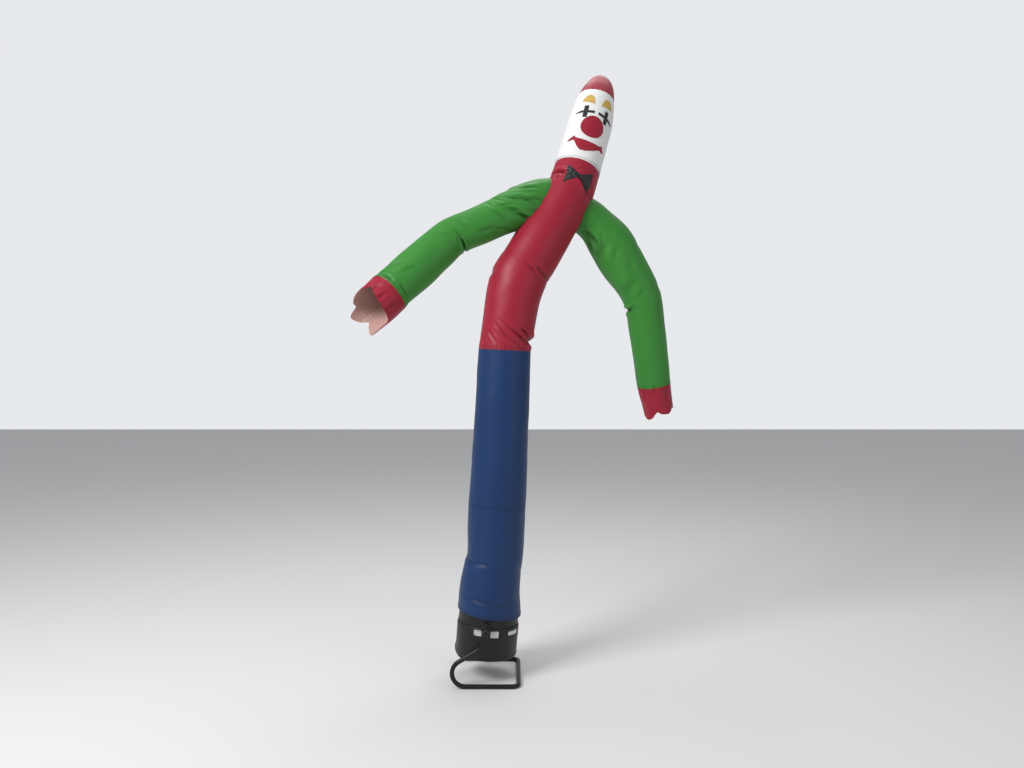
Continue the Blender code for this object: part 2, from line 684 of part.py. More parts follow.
def make_guard(reach):
    """Flat rings on four spokes around a plain middle plate."""
    base, top = 0.0, DRUM_WALL
    rings = []
    for number, radius in enumerate(reach * part for part in GUARD_RINGS):
        bar = [(radius - GUARD_BAR, base), (radius, base), (radius, top), (radius - GUARD_BAR, top)]
        rings.append(turned(f"guard_ring_{number}", bar, GUARD_SIDES, "drum"))
    guard = rings[0]
    guard.name = "intake_guard"
    centre = solid("guard_plate", *disc_points(reach * GUARD_PLATE, base, top, 16), "drum")
    spokes = [spoke_bar(f"guard_spoke_{turn}", turn, reach - GUARD_BAR / 2, base, top) for turn in (0, 90)]
    for extra in rings[1:] + [centre] + spokes:
        as_cutter(lean_drum(extra))
        joined = guard.modifiers.new("join", "BOOLEAN")
        joined.operation = "UNION"
        joined.object = extra
    lean_drum(guard)


def disc_points(radius, base, top, sides):
    """Points and faces of a flat disc."""
    points = [
        Vector((radius * sin(radians(turn)), -radius * cos(radians(turn)), height))
        for height in (base, top)
        for turn in turns_of(sides)
    ]
    faces = grid_faces(2, sides) + [tuple(range(sides)), tuple(range(sides, 2 * sides))]
    return points, faces


def spoke_bar(name, turn, reach, base, top):
    """A flat bar right across the guard, a little inside its faces."""
    half = GUARD_BAR / 2
    inset = 0.0004
    across = Matrix.Rotation(radians(turn), 4, "Z")
    corners = [(-reach, -half), (reach, -half), (reach, half), (-reach, half)]
    points = [across @ Vector((x, y, z)) for z in (base + inset, top - inset) for x, y in corners]
    faces = [(0, 1, 2, 3), (4, 5, 6, 7), (0, 1, 5, 4), (1, 2, 6, 5), (2, 3, 7, 6), (3, 0, 4, 7)]
    return solid(name, points, faces, "drum")


def upright_disc(name, radius, start, end, sides, colour, lobe=0.0):
    """A disc or lobed knob about the pivot's axis, between two distances from the middle."""
    points = []
    for depth in (start, end):
        for turn in turns_of(sides):
            reach = radius * (1 - lobe * (0.5 + 0.5 * cos(radians(turn * KNOB_LOBES))))
            x = PIVOT_X + reach * sin(radians(turn))
            points.append(Vector((x, depth, PIVOT_HEIGHT - reach * cos(radians(turn)))))
    faces = grid_faces(2, sides) + [tuple(range(sides)), tuple(range(sides, 2 * sides))]
    return solid(name, points, faces, colour)


def make_pivots():
    """A boss on the drum and a lobed hand knob outside the stand's eye, front and back."""
    drum_points, drum_faces = disc_points(DRUM_RADIUS + GAP, 0.0, DRUM_GROOVE, DRUM_SIDES)
    drum_cutter = as_cutter(lean_drum(solid("drum_cutter", drum_points, drum_faces, "knob")))
    eye_outside = STAND_HALF_WIDTH + EYE_THICKNESS / 2
    for name, way in (("front", -1), ("back", 1)):
        boss = upright_disc(f"boss_{name}", BOSS_RADIUS, way * (DRUM_RADIUS - 0.02), way * BOSS_REACH,
                            24, "drum")
        cut(boss, drum_cutter)
        start = way * (eye_outside + GAP)
        upright_disc(f"knob_{name}", KNOB_RADIUS, start, start + way * KNOB_DEPTH, 30, "knob", lobe=0.16)


def arc(centre, radius, start, end, steps, plane):
    """Points of an arc in the XZ or the XY plane, by angle in degrees from +X."""
    points = []
    for step in range(steps + 1):
        angle = radians(start + (end - start) * step / steps)
        first, second = radius * cos(angle), radius * sin(angle)
        offset = Vector((first, 0, second)) if plane == "XZ" else Vector((first, second, 0))
        points.append(centre + offset)
    return points


def stand_route():
    """Middle line of the stand from the front eye, round the floor, to the back eye."""
    rise = RAIL_RADIUS * cos(pi / RAIL_SIDES)
    front = -STAND_HALF_WIDTH
    bend_centre = Vector((STAND_BEND_X, front, rise + STAND_BEND))
    bend = arc(bend_centre, STAND_BEND, 90 + STAND_SLOPE, 270, 9, "XZ")
    slope = tan(radians(STAND_SLOPE))
    elbow_x = PIVOT_X + STAND_ELBOW_X
    elbow = Vector((elbow_x, front, bend[0].z + (elbow_x - bend[0].x) * slope))
    eye = Vector((PIVOT_X, front, PIVOT_HEIGHT))
    low_eye = eye + (elbow - eye) * EYE_END
    soft = [
        elbow + (low_eye - elbow) * ELBOW_ABOVE,
        elbow + (bend[0] - elbow) * ELBOW_MIDDLE + Vector((0, 0, ELBOW_LIFT)),
        elbow + (bend[0] - elbow) * ELBOW_BELOW,
    ]
    corner = Vector((STAND_RIGHT - STAND_CORNER, front + STAND_CORNER, rise))
    front_half = [eye, low_eye] + soft + bend + arc(corner, STAND_CORNER, -90, 0, 5, "XY")
    back_half = [Vector((point.x, -point.y, point.z)) for point in reversed(front_half)]
    return front_half + back_half


def make_stand():
    """One bent tube whose floor runs have a flat facet below and whose ends are pressed flat."""
    route = stand_route()
    eye = route[0]
    route = [eye + Vector((0, 0, EYE_WIDTH * 0.55))] + route
    route += [Vector((route[0].x, -route[0].y, route[0].z))]
    last = len(route) - 1
    normal = Vector((0, 1, 0))
    points = []
    for index, place in enumerate(route):
        before, after = route[max(index - 1, 0)], route[min(index + 1, last)]
        along = (after - before).normalized()
        normal = (normal - along * normal.dot(along)).normalized()
        binormal = along.cross(normal)
        flat = min(index, last - index) < 3
        thick = EYE_THICKNESS / 2 if flat else RAIL_RADIUS
        wide = EYE_WIDTH / 2 if flat else RAIL_RADIUS
        for turn in turns_of(RAIL_SIDES):
            angle = radians(turn + 180 / RAIL_SIDES)
            points.append(place + normal * (thick * cos(angle)) + binormal * (wide * sin(angle)))
    faces = grid_faces(len(route), RAIL_SIDES)
    faces += [tuple(range(RAIL_SIDES)), tuple(range(len(points) - RAIL_SIDES, len(points)))]
    solid("stand", points, faces, "rail")


def make_drum_trim():
    """Three blank labels and the webbing tab on the drum's side."""
    lean = tan(radians(DRUM_LEAN))
    sections = [
        Section(f"ring {number}", DRUM_X + height * lean, 0.0, DRUM_BOTTOM + height, DRUM_RADIUS, DRUM_RADIUS)
        for number, height in enumerate((0.0, 0.1, 0.2, 0.3))
    ]
    line = Line(sections)
    for trim in DRUM_TRIM:
        edges = spread(-trim.wide / 2, trim.wide / 2, trim.wide / trim.strips)
        spans = [Span(edge, -trim.tall / 2, trim.tall / 2) for edge in edges]
        patch(trim.name, line, trim.height, trim.turn, spans, 1, trim.colour)


def centre_on_floor():
    """Move everything so that the origin is the middle of the footprint, on the floor."""
    bpy.context.view_layer.update()
    graph = bpy.context.evaluated_depsgraph_get()
    kept = [piece for piece in bpy.context.scene.objects if not piece.hide_render]
    corners = []
    for piece in kept:
        seen = piece.evaluated_get(graph)
        corners += [piece.matrix_world @ vertex.co for vertex in seen.data.vertices]
    lows = [min(corner[axis] for corner in corners) for axis in range(3)]
    highs = [max(corner[axis] for corner in corners) for axis in range(3)]
    shift = Vector((-(lows[0] + highs[0]) / 2, -(lows[1] + highs[1]) / 2, -lows[2]))
    for piece in bpy.context.scene.objects:
        piece.location = piece.location + shift


def main():
    for old in list(bpy.data.objects):
        bpy.data.objects.remove(old, do_unlink=True)
    body_line, body = make_body()
    left_line = Line(LEFT_ARM_SECTIONS, LEFT_ARM_FOLDS)
    right_line = Line(RIGHT_ARM_SECTIONS, RIGHT_ARM_FOLDS)
    make_sleeve("left", left_line, body, LEFT_SEAM_SLOPE)
    make_sleeve("right", right_line, body, 0.0)
    make_cuff("left", left_line, LEFT_CUTS, LEFT_SEAM_SLOPE)
    make_cuff("right", right_line, RIGHT_CUTS, 0.0)
    make_hand(left_line, LEFT_CUTS, LEFT_SEAM_SLOPE)
    make_face(body_line, body["head_band"])
    make_bow_tie(body_line, body["torso_tube"])
    make_drum()
    make_pivots()
    make_stand()
    make_drum_trim()
    centre_on_floor()


main()
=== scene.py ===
"""Inflatable air dancer on its blower: the dressed cloth, blower, stand, lights and camera.

The figure is a run of open cloth tubes. Each tube follows a middle line read from a short table of
sections, as the solids do, and its creases, gathers and seams are read from tables beside it. A turn
around a tube is in degrees: 0 faces the viewer. Left and right are the viewer's.
"""
from collections import namedtuple
from math import cos, degrees, pi, radians, sin, tan

import bpy
import numpy as np
from bpy.props import FloatProperty, FloatVectorProperty, IntProperty, PointerProperty
from mathutils import Matrix, Vector
from mathutils.bvhtree import BVHTree


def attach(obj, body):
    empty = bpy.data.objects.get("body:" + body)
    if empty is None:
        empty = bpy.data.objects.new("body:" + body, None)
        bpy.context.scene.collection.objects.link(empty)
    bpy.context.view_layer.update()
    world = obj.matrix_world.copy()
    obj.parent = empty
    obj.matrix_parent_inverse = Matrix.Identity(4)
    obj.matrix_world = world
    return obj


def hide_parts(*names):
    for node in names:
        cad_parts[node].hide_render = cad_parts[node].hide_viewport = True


bl_info = {
    "name": "Inflatable air dancer",
    "version": (1, 0, 0),
    "blender": (4, 5, 0),
    "location": "3D View > Sidebar > Air dancer",
    "description": "Builds the cloth figure, its blower, the stand and the studio around them",
    "category": "Add Mesh",
}

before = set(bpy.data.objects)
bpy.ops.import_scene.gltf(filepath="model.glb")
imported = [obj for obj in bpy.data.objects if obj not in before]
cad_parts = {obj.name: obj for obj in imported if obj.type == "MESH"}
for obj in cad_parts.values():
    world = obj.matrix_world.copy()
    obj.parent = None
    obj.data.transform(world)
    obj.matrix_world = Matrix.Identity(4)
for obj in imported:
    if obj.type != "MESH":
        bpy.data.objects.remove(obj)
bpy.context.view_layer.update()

# The solids' origin is the middle of the footprint; the tables count from the floor below the blower.
FOOT = np.array((-0.16267, -0.06759, 0.0))
CLOTH = 0.002
GAP = 0.0003

Section = namedtuple("Section", "name x y z across deep")
Crease = namedtuple("Crease", "along turn length width depth slant bow ridge", defaults=(0.0, 0.3))
Gather = namedtuple("Gather", "along reach depth count")
Wave = namedtuple("Wave", "part along around start")
Cut = namedtuple("Cut", "turn length")
Label = namedtuple("Label", "name finish slot turn height wide tall")
Span = namedtuple("Span", "at low high")
Patch = namedtuple("Patch", "node colour place up turn spans smooth flip")
Panel = namedtuple("Panel", "name colour start end rests_on")

BODY_SECTIONS = [
    Section("hem", 0.0101, 0.000, 0.317, 0.1572, 0.1572),
    Section("over the drum", 0.0125, 0.000, 0.415, 0.1520, 0.1520),
    Section("below the first kink", 0.0267, 0.000, 0.535, 0.1430, 0.1430),
    Section("first kink", 0.0392, 0.000, 0.595, 0.1390, 0.1390),
    Section("shin", 0.0468, 0.000, 0.776, 0.1415, 0.1415),
    Section("leg seam", 0.0503, 0.000, 0.846, 0.1410, 0.1410),
    Section("knee", 0.0593, 0.000, 1.015, 0.1390, 0.1390),
    Section("thigh", 0.0743, 0.000, 1.313, 0.1335, 0.1335),
    Section("waist seam", 0.0882, 0.000, 1.619, 0.1280, 0.1280),
    Section("waist pinch", 0.0917, 0.001, 1.654, 0.1262, 0.1280),
    Section("belly", 0.1090, 0.005, 1.757, 0.1307, 0.1307),
    Section("below the kink", 0.1287, 0.010, 1.875, 0.1350, 0.1340),
    Section("kink start", 0.1495, 0.015, 1.949, 0.1375, 0.1350),
    Section("kink", 0.1680, 0.021, 1.993, 0.1370, 0.1350),
    Section("kink end", 0.1980, 0.030, 2.041, 0.1325, 0.1330),
    Section("chest", 0.2780, 0.060, 2.176, 0.1308, 0.1308),
    Section("upper chest", 0.3286, 0.085, 2.258, 0.1250, 0.1270),
    Section("armholes", 0.3880, 0.115, 2.362, 0.1218, 0.1240),
    Section("neck crease", 0.4240, 0.140, 2.438, 0.1200, 0.1220),
    Section("chin seam", 0.4540, 0.174, 2.528, 0.1175, 0.1175),
    Section("mouth height", 0.4825, 0.212, 2.627, 0.1163, 0.1163),
    Section("nose height", 0.5040, 0.242, 2.704, 0.1155, 0.1155),
    Section("eye height", 0.5260, 0.272, 2.778, 0.1145, 0.1145),
    Section("brow height", 0.5425, 0.299, 2.841, 0.1100, 0.1100),
    Section("cap seam", 0.5635, 0.332, 2.920, 0.0965, 0.0965),
    Section("cap side", 0.5810, 0.360, 2.983, 0.0790, 0.0790),
    Section("cap shoulder", 0.5900, 0.377, 3.027, 0.0560, 0.0560),
    Section("cap top", 0.5935, 0.387, 3.046, 0.0300, 0.0300),
]
LEFT_ARM_SECTIONS = [
    Section("inside torso", 0.3500, 0.105, 2.350, 0.1180, 0.0620),
    Section("root", 0.2750, 0.092, 2.352, 0.1240, 0.0740),
    Section("shoulder", 0.1640, 0.062, 2.325, 0.1085, 0.0920),
    Section("upper arm", 0.0640, 0.034, 2.279, 0.0970, 0.0940),
    Section("above elbow", -0.0440, 0.002, 2.227, 0.0925, 0.0915),
    Section("elbow", -0.1640, -0.022, 2.173, 0.0925, 0.0915),
    Section("below elbow", -0.2420, -0.051, 2.103, 0.0985, 0.0960),
    Section("forearm", -0.3465, -0.100, 2.0025, 0.1040, 0.1010),
    Section("cuff crease", -0.4380, -0.150, 1.914, 0.1005, 0.0980),
    Section("wrist", -0.4590, -0.164, 1.890, 0.1035, 0.1025),
    Section("palm", -0.5175, -0.200, 1.829, 0.1030, 0.1040),
    Section("fingers", -0.6025, -0.250, 1.754, 0.0960, 0.1000),
]
RIGHT_ARM_SECTIONS = [
    Section("inside torso", 0.4250, 0.145, 2.325, 0.0930, 0.0840),
    Section("root", 0.4930, 0.158, 2.299, 0.0965, 0.0920),
    Section("shoulder", 0.5526, 0.165, 2.250, 0.0985, 0.0960),
    Section("upper arm", 0.6218, 0.170, 2.169, 0.1160, 0.1070),
    Section("above elbow", 0.6882, 0.172, 2.0575, 0.1130, 0.1080),
    Section("elbow bend", 0.7522, 0.175, 1.960, 0.1025, 0.1010),
    Section("elbow", 0.7935, 0.180, 1.869, 0.0960, 0.0965),
    Section("below elbow", 0.8150, 0.194, 1.747, 0.0935, 0.0935),
    Section("forearm", 0.8370, 0.219, 1.608, 0.0910, 0.0910),
    Section("wrist", 0.8635, 0.256, 1.441, 0.0860, 0.0860),
    Section("palm", 0.8835, 0.274, 1.350, 0.0790, 0.0830),
    Section("fingers", 0.9040, 0.288, 1.250, 0.0720, 0.0780),
]

# Creases by place on the tube: along it, around it, their length, half width, depth and slant.
BODY_CREASES = [
    Crease(0.246, -52, 0.26, 0.010, 0.0075, 1, 0.5),
    Crease(0.256, -12, 0.20, 0.008, 0.0045, -12),
    Crease(0.084, -12, 0.36, 0.010, 0.0055, -12, -0.4),
    Crease(0.066, 28, 0.16, 0.008, 0.0035, 14),
    Crease(1.362, 92, 0.28, 0.016, 0.019, -6),
    Crease(1.376, 34, 0.34, 0.0060, 0.0105, -28),
    Crease(1.386, 58, 0.26, 0.0050, 0.0085, -30),
    Crease(1.360, 12, 0.26, 0.0050, 0.0075, -33),
    Crease(1.372, -3, 0.22, 0.0055, 0.0070, -38),
    Crease(1.358, -34, 0.15, 0.0055, 0.0050, -42),
    Crease(1.350, -58, 0.13, 0.0060, 0.0040, -46),
    Crease(1.400, 48, 0.18, 0.0045, 0.0055, -22),
    Crease(1.404, 74, 0.20, 0.0055, 0.0065, -24),
    Crease(1.338, 128, 0.22, 0.009, 0.0060, 16),
    Crease(1.392, 150, 0.20, 0.009, 0.0045, 26),
    Crease(1.714, 15, 0.12, 0.007, 0.0075, -12),
    Crease(1.729, 38, 0.14, 0.006, 0.0085, -6),
    Crease(1.731, 68, 0.24, 0.008, 0.0110, -4),
    Crease(1.748, 96, 0.20, 0.010, 0.0030, 6),
    Crease(1.700, 104, 0.16, 0.009, 0.0050, -14),
    Crease(1.646, -84, 0.20, 0.012, 0.0050, 6),
    Crease(2.232, -46, 0.28, 0.010, 0.0150, -3),
    Crease(2.206, 27, 0.22, 0.010, 0.0120, -28),
    Crease(2.196, 62, 0.18, 0.009, 0.0070, -34),
    Crease(2.236, 176, 0.34, 0.012, 0.0060, 4),
    Crease(2.176, -66, 0.10, 0.006, 0.0055, 62, 0.0, 0.5),
    Crease(2.186, -54, 0.11, 0.006, 0.0055, 48, 0.0, 0.5),
    Crease(2.200, -42, 0.11, 0.006, 0.0045, 34, 0.0, 0.5),
    Crease(2.205, -28, 0.10, 0.006, 0.0035, 24, 0.0, 0.5),
    Crease(2.262, 4, 0.06, 0.005, 0.0030, 40, 0.0, 0.5),
    Crease(2.226, -12, 0.07, 0.005, 0.0035, 58, 0.0, 0.5),
]
LEFT_ARM_CREASES = [
    Crease(0.185, 12, 0.19, 0.0085, 0.0110, 62),
    Crease(0.215, -35, 0.22, 0.0110, 0.0150, 50),
    Crease(0.300, 55, 0.16, 0.0100, 0.0085, 30),
    Crease(0.150, 44, 0.15, 0.0070, 0.0080, 70),
    Crease(0.232, 24, 0.15, 0.0060, 0.0080, 44),
    Crease(0.254, -6, 0.15, 0.0065, 0.0085, 60),
    Crease(0.292, 18, 0.12, 0.0060, 0.0065, 70),
    Crease(0.330, -6, 0.13, 0.0070, 0.0065, 36),
    Crease(0.345, 34, 0.12, 0.0070, 0.0050, 24),
    Crease(0.330, -52, 0.15, 0.0080, 0.0065, 60),
    Crease(0.120, 4, 0.13, 0.0060, 0.0070, 78),
    Crease(0.234, 96, 0.12, 0.0160, 0.0080, 4),
    Crease(0.422, -28, 0.10, 0.010, 0.0040, 80),
    Crease(0.548, -55, 0.24, 0.010, 0.0160, 0, 0.4),
    Crease(0.524, -30, 0.10, 0.008, 0.0050, 18),
    Crease(0.572, -26, 0.10, 0.008, 0.0045, -16),
    Crease(0.508, 20, 0.14, 0.014, 0.0035, 34),
    Crease(0.612, 12, 0.16, 0.014, 0.0030, 48),
    Crease(0.548, -130, 0.20, 0.012, 0.0080, 8),
    Crease(0.978, 28, 0.17, 0.008, 0.0100, -3),
    Crease(0.962, 62, 0.10, 0.008, 0.0060, 20),
    Crease(0.966, -30, 0.12, 0.008, 0.0050, -12),
    Crease(0.900, 40, 0.14, 0.010, 0.0040, 62),
    Crease(0.880, 4, 0.13, 0.010, 0.0035, 74),
    Crease(1.060, 30, 0.10, 0.009, 0.0060, 66),
    Crease(1.075, 0, 0.11, 0.009, 0.0060, 78),
    Crease(1.070, -38, 0.11, 0.009, 0.0055, 84),
    Crease(1.090, 62, 0.09, 0.010, 0.0050, 50),
]
RIGHT_ARM_CREASES = [
    Crease(0.170, 44, 0.20, 0.013, 0.0130, 98),
    Crease(0.200, 62, 0.16, 0.010, 0.0090, 84),
    Crease(0.269, 40, 0.16, 0.022, 0.0065, 25),
    Crease(0.228, 24, 0.12, 0.010, 0.0050, 60),
    Crease(0.330, 12, 0.16, 0.014, 0.0040, 50),
    Crease(0.405, -8, 0.18, 0.016, 0.0035, 66),
    Crease(0.635, 78, 0.22, 0.012, 0.0150, 0),
    Crease(0.620, 50, 0.12, 0.009, 0.0060, 20),
    Crease(0.656, 54, 0.11, 0.009, 0.0050, -22),
    Crease(0.504, 30, 0.16, 0.022, 0.0060, 20),
    Crease(0.562, 8, 0.13, 0.012, 0.0035, 30),
    Crease(0.342, -76, 0.16, 0.016, 0.0022, 10),
    Crease(0.563, -72, 0.18, 0.016, 0.0022, -6),
    Crease(1.060, 10, 0.10, 0.008, 0.0040, 70),
    Crease(1.075, 50, 0.11, 0.008, 0.0050, 86),
    Crease(1.090, -30, 0.10, 0.008, 0.0045, 96),
    Crease(1.095, 82, 0.10, 0.008, 0.0045, 78),
]

# Where the cloth puckers along a seam: its place, how far the pucker runs, its depth and its waves.
BODY_GATHERS = [
    Gather(0.006, 0.030, 0.0007, 23),
    Gather(0.531, 0.022, 0.0007, 44),
    Gather(1.305, 0.030, 0.0013, 38),
    Gather(2.319, 0.024, 0.0010, 40),
    Gather(2.755, 0.024, 0.0012, 36),
]
LEFT_ARM_GATHERS = [Gather(1.000, 0.040, 0.0013, 19), Gather(0.150, 0.060, 0.0020, 22)]
RIGHT_ARM_GATHERS = [Gather(1.050, 0.030, 0.0012, 21), Gather(0.110, 0.060, 0.0018, 24)]

LEFT_SEAM_SLOPE = -0.004
# How far the cut edge of each arm's end lies from its seam, by turn; it runs straight between.
LEFT_CUTS = [
    Cut(0, 0.102), Cut(20, 0.092), Cut(42, 0.072), Cut(69, 0.095), Cut(90, 0.125), Cut(110, 0.143),
    Cut(125, 0.152), Cut(140, 0.141), Cut(148, 0.188), Cut(157, 0.196), Cut(166, 0.190), Cut(184, 0.169),
    Cut(198, 0.134), Cut(209, 0.155), Cut(235, 0.183), Cut(258, 0.193), Cut(272, 0.157), Cut(284, 0.107),
    Cut(300, 0.104), Cut(340, 0.106), Cut(360, 0.102),
]
RIGHT_CUTS = [
    Cut(0, 0.150), Cut(14, 0.134), Cut(24, 0.146), Cut(38, 0.166), Cut(58, 0.176), Cut(80, 0.168),
    Cut(100, 0.154), Cut(120, 0.128), Cut(140, 0.120), Cut(160, 0.150), Cut(180, 0.125), Cut(205, 0.150),
    Cut(230, 0.122), Cut(255, 0.138), Cut(278, 0.148), Cut(300, 0.130), Cut(314, 0.150), Cut(330, 0.158),
    Cut(347, 0.154), Cut(360, 0.150),
]
HAND_TURNS = (78, 276)
HAND_START = 0.006
# Turns over which the corners of a cut edge are evened out.
CUT_ROUNDING = (-3.0, -1.5, 0.0, 1.5, 3.0)
SLEEVE_LENGTH = 0.95
# The hem dips towards one side of the figure.
HEM_RISE = 0.011
HEM_DIP = 0.0197
HEM_LOW = 61.5
CAP_SUNK = 0.007
CAP_RISE = 0.0015
BODY_PANELS = [
    Panel("leg_lower", "blue", "hem", "leg seam", "drum_collar"),
    Panel("leg_upper", "blue", "leg seam", "waist seam", "leg_lower"),
    Panel("torso_tube", "red", "waist seam", "chin seam", "leg_upper"),
    Panel("head_band", "white", "chin seam", "cap seam", "torso_tube"),
]

# Relief of the blown cloth, and of the lengthwise seam with the fine puckers beside it.
WAVES = [Wave(1.0, 9.0, 2, 0.0), Wave(0.8, 17.0, -3, 1.0), Wave(0.5, 31.0, 4, 2.0), Wave(0.4, 47.0, -5, 0.0)]
WAVE_RISE = 0.0007
SEAM_RISE = 0.0012
SEAM_HALF_WIDTH = 0.006
PUCKER_RISE = 0.0009
PUCKER_REACH = 0.02
PUCKER_PITCH = 0.021
# How many half widths away from a crease its ridges stand.
RIDGE_AWAY = 1.9
# The reach over which a tube's direction is taken, and the step that looks for a sleeve's root.
DIRECTION_STEP = 0.002
ROOT_STEP = 0.012
THREAD_RADIUS = 0.0005
THREAD_OUT = 0.0004
STITCH_INSET = 0.0028
# How much of the pitch a stitch fills.
STITCH_PART = 0.76
NODE_STEP = 200

FACE_TURN = 7.5
BROW_SPANS = [
    Span(-0.0350, 0.0050, 0.0080), Span(-0.0260, 0.0040, 0.0300), Span(-0.0130, 0.0010, 0.0460),
    Span(0.0000, -0.0010, 0.0505), Span(0.0130, -0.0030, 0.0460), Span(0.0260, -0.0055, 0.0260),
    Span(0.0340, -0.0085, -0.0055),
]
EYE_SPANS = [
    Span(-0.0540, -0.0120, -0.0090), Span(-0.0300, -0.0095, 0.0025), Span(-0.0110, -0.0070, 0.0060),
    Span(-0.0105, -0.0350, 0.0370), Span(0.0105, -0.0350, 0.0370), Span(0.0110, -0.0060, 0.0075),
    Span(0.0460, -0.0030, 0.0110),
]
MOUTH_SPANS = [
    Span(-0.1120, -0.0120, -0.0050), Span(-0.0960, -0.0080, 0.0080), Span(-0.0800, -0.0040, 0.0220),
    Span(-0.0720, -0.0120, 0.0100), Span(-0.0560, -0.0380, 0.0060), Span(-0.0340, -0.0590, 0.0030),
    Span(-0.0060, -0.0580, 0.0000), Span(0.0240, -0.0460, 0.0000), Span(0.0520, -0.0280, 0.0020),
    Span(0.0720, -0.0160, 0.0060), Span(0.0800, -0.0180, 0.0160), Span(0.0880, -0.0200, 0.0040),
    Span(0.1000, -0.0180, -0.0120),
]
BOW_SPANS = [
    Span(-0.0710, -0.0560, 0.0420), Span(-0.0360, -0.0300, 0.0260), Span(-0.0130, -0.0140, 0.0140),
    Span(0.0130, -0.0140, 0.0140), Span(0.0360, -0.0300, 0.0280), Span(0.0710, -0.0540, 0.0460),
]
NOSE_RADIUS = 0.062
NOSE_UP = 0.004
BROW_APART = 0.054
BROW_UP = 0.147
EYE_APART = 0.057
EYE_UP = 0.084
BOW_TURN = 9.0
BOW_UP = 0.008

# Blower and stand, as in the solids.
DRUM_RADIUS = 0.152
DRUM_WALL = 0.003
DRUM_BOTTOM = 0.112
DRUM_GROOVE = 0.272
DRUM_LEAN = 4.5
DRUM_LIP = 0.018
DRUM_ROUND = 0.010
DRUM_X = -0.0074
COLLAR_RADIUS = 0.1476
COLLAR_TOP = 0.358
PIVOT_HEIGHT = 0.274
BOSS_RADIUS = 0.023
BOSS_REACH = 0.1965
KNOB_RADIUS = 0.021
KNOB_DEPTH = 0.026
KNOB_LOBES = 5
WIRE_RADIUS = 0.0014
RAIL_RADIUS = 0.011
STAND_HALF_WIDTH = 0.200
STAND_RIGHT = 0.156
STAND_CORNER = 0.036
STAND_BEND = 0.064
STAND_BEND_X = -0.099
STAND_SLOPE = 31.2
STAND_ELBOW_X = -0.0171
EYE_THICKNESS = 0.006
EYE_WIDTH = 0.026
EYE_ROUND = 0.012
ROUTE_STEP = 0.006
LABEL_CORNER = 0.003
DRUM_TRIM = [
    Label("label_1", "label", "label_film", turn=-17.5, height=0.138, wide=0.038, tall=0.027),
    Label("label_2", "label", "label_film", turn=14.0, height=0.1356, wide=0.040, tall=0.031),
    Label("label_3", "label", "label_film", turn=55.6, height=0.137, wide=0.070, tall=0.020),
    Label("side_tab", "webbing", "webbing", turn=84.0, height=0.130, wide=0.036, tall=0.056),
]

CAMERA = (0.124, -4.555, 1.624)
CAMERA_PITCH = 2.17
CAMERA_LENS = 32.45
# How strongly the studio's surround lights the figure, and how bright it looks behind it.
SKY_LIGHT = 0.44
SKY_SEEN = 0.84
# Each light's name, place, target, size and part of the key light's power.
LIGHTS = [
    ("key", (-3.4, -3.2, 4.6), (0.1, 0.0, 1.7), 2.2, 1.0),
    ("fill", (3.8, -3.6, 2.2), (0.1, 0.0, 1.5), 3.0, 0.10),
    ("top", (0.6, 1.6, 5.4), (0.1, 0.0, 1.8), 2.6, 0.30),
]


def reach_of(points):
    """Distance along a row of points to each of them."""
    return np.concatenate(([0.0], np.cumsum(np.linalg.norm(np.diff(points, axis=0), axis=1))))


def slopes_of(knots, values):
    """The slope at each knot, from its neighbours."""
    index = np.arange(len(knots))
    before, after = np.maximum(index - 1, 0), np.minimum(index + 1, len(knots) - 1)
    return (values[after] - values[before]) / (knots[after] - knots[before])[:, None]


def curve_between(knots, values, slopes, places):
    """Values at places on the smooth curve through the knots."""
    index = np.clip(np.searchsorted(knots, places, side="right") - 1, 0, len(knots) - 2)
    span = (knots[index + 1] - knots[index])[..., None]
    part = (places - knots[index])[..., None] / span
    return (
        (2 * part**3 - 3 * part**2 + 1) * values[index]
        + (part**3 - 2 * part**2 + part) * span * slopes[index]
        + (3 * part**2 - 2 * part**3) * values[index + 1]
        + (part**3 - part**2) * span * slopes[index + 1]
    )


def turned_apart(turn, other):
    """How far one turn lies from another, from -180 to 180 degrees."""
    return (turn - other + 180) % 360 - 180


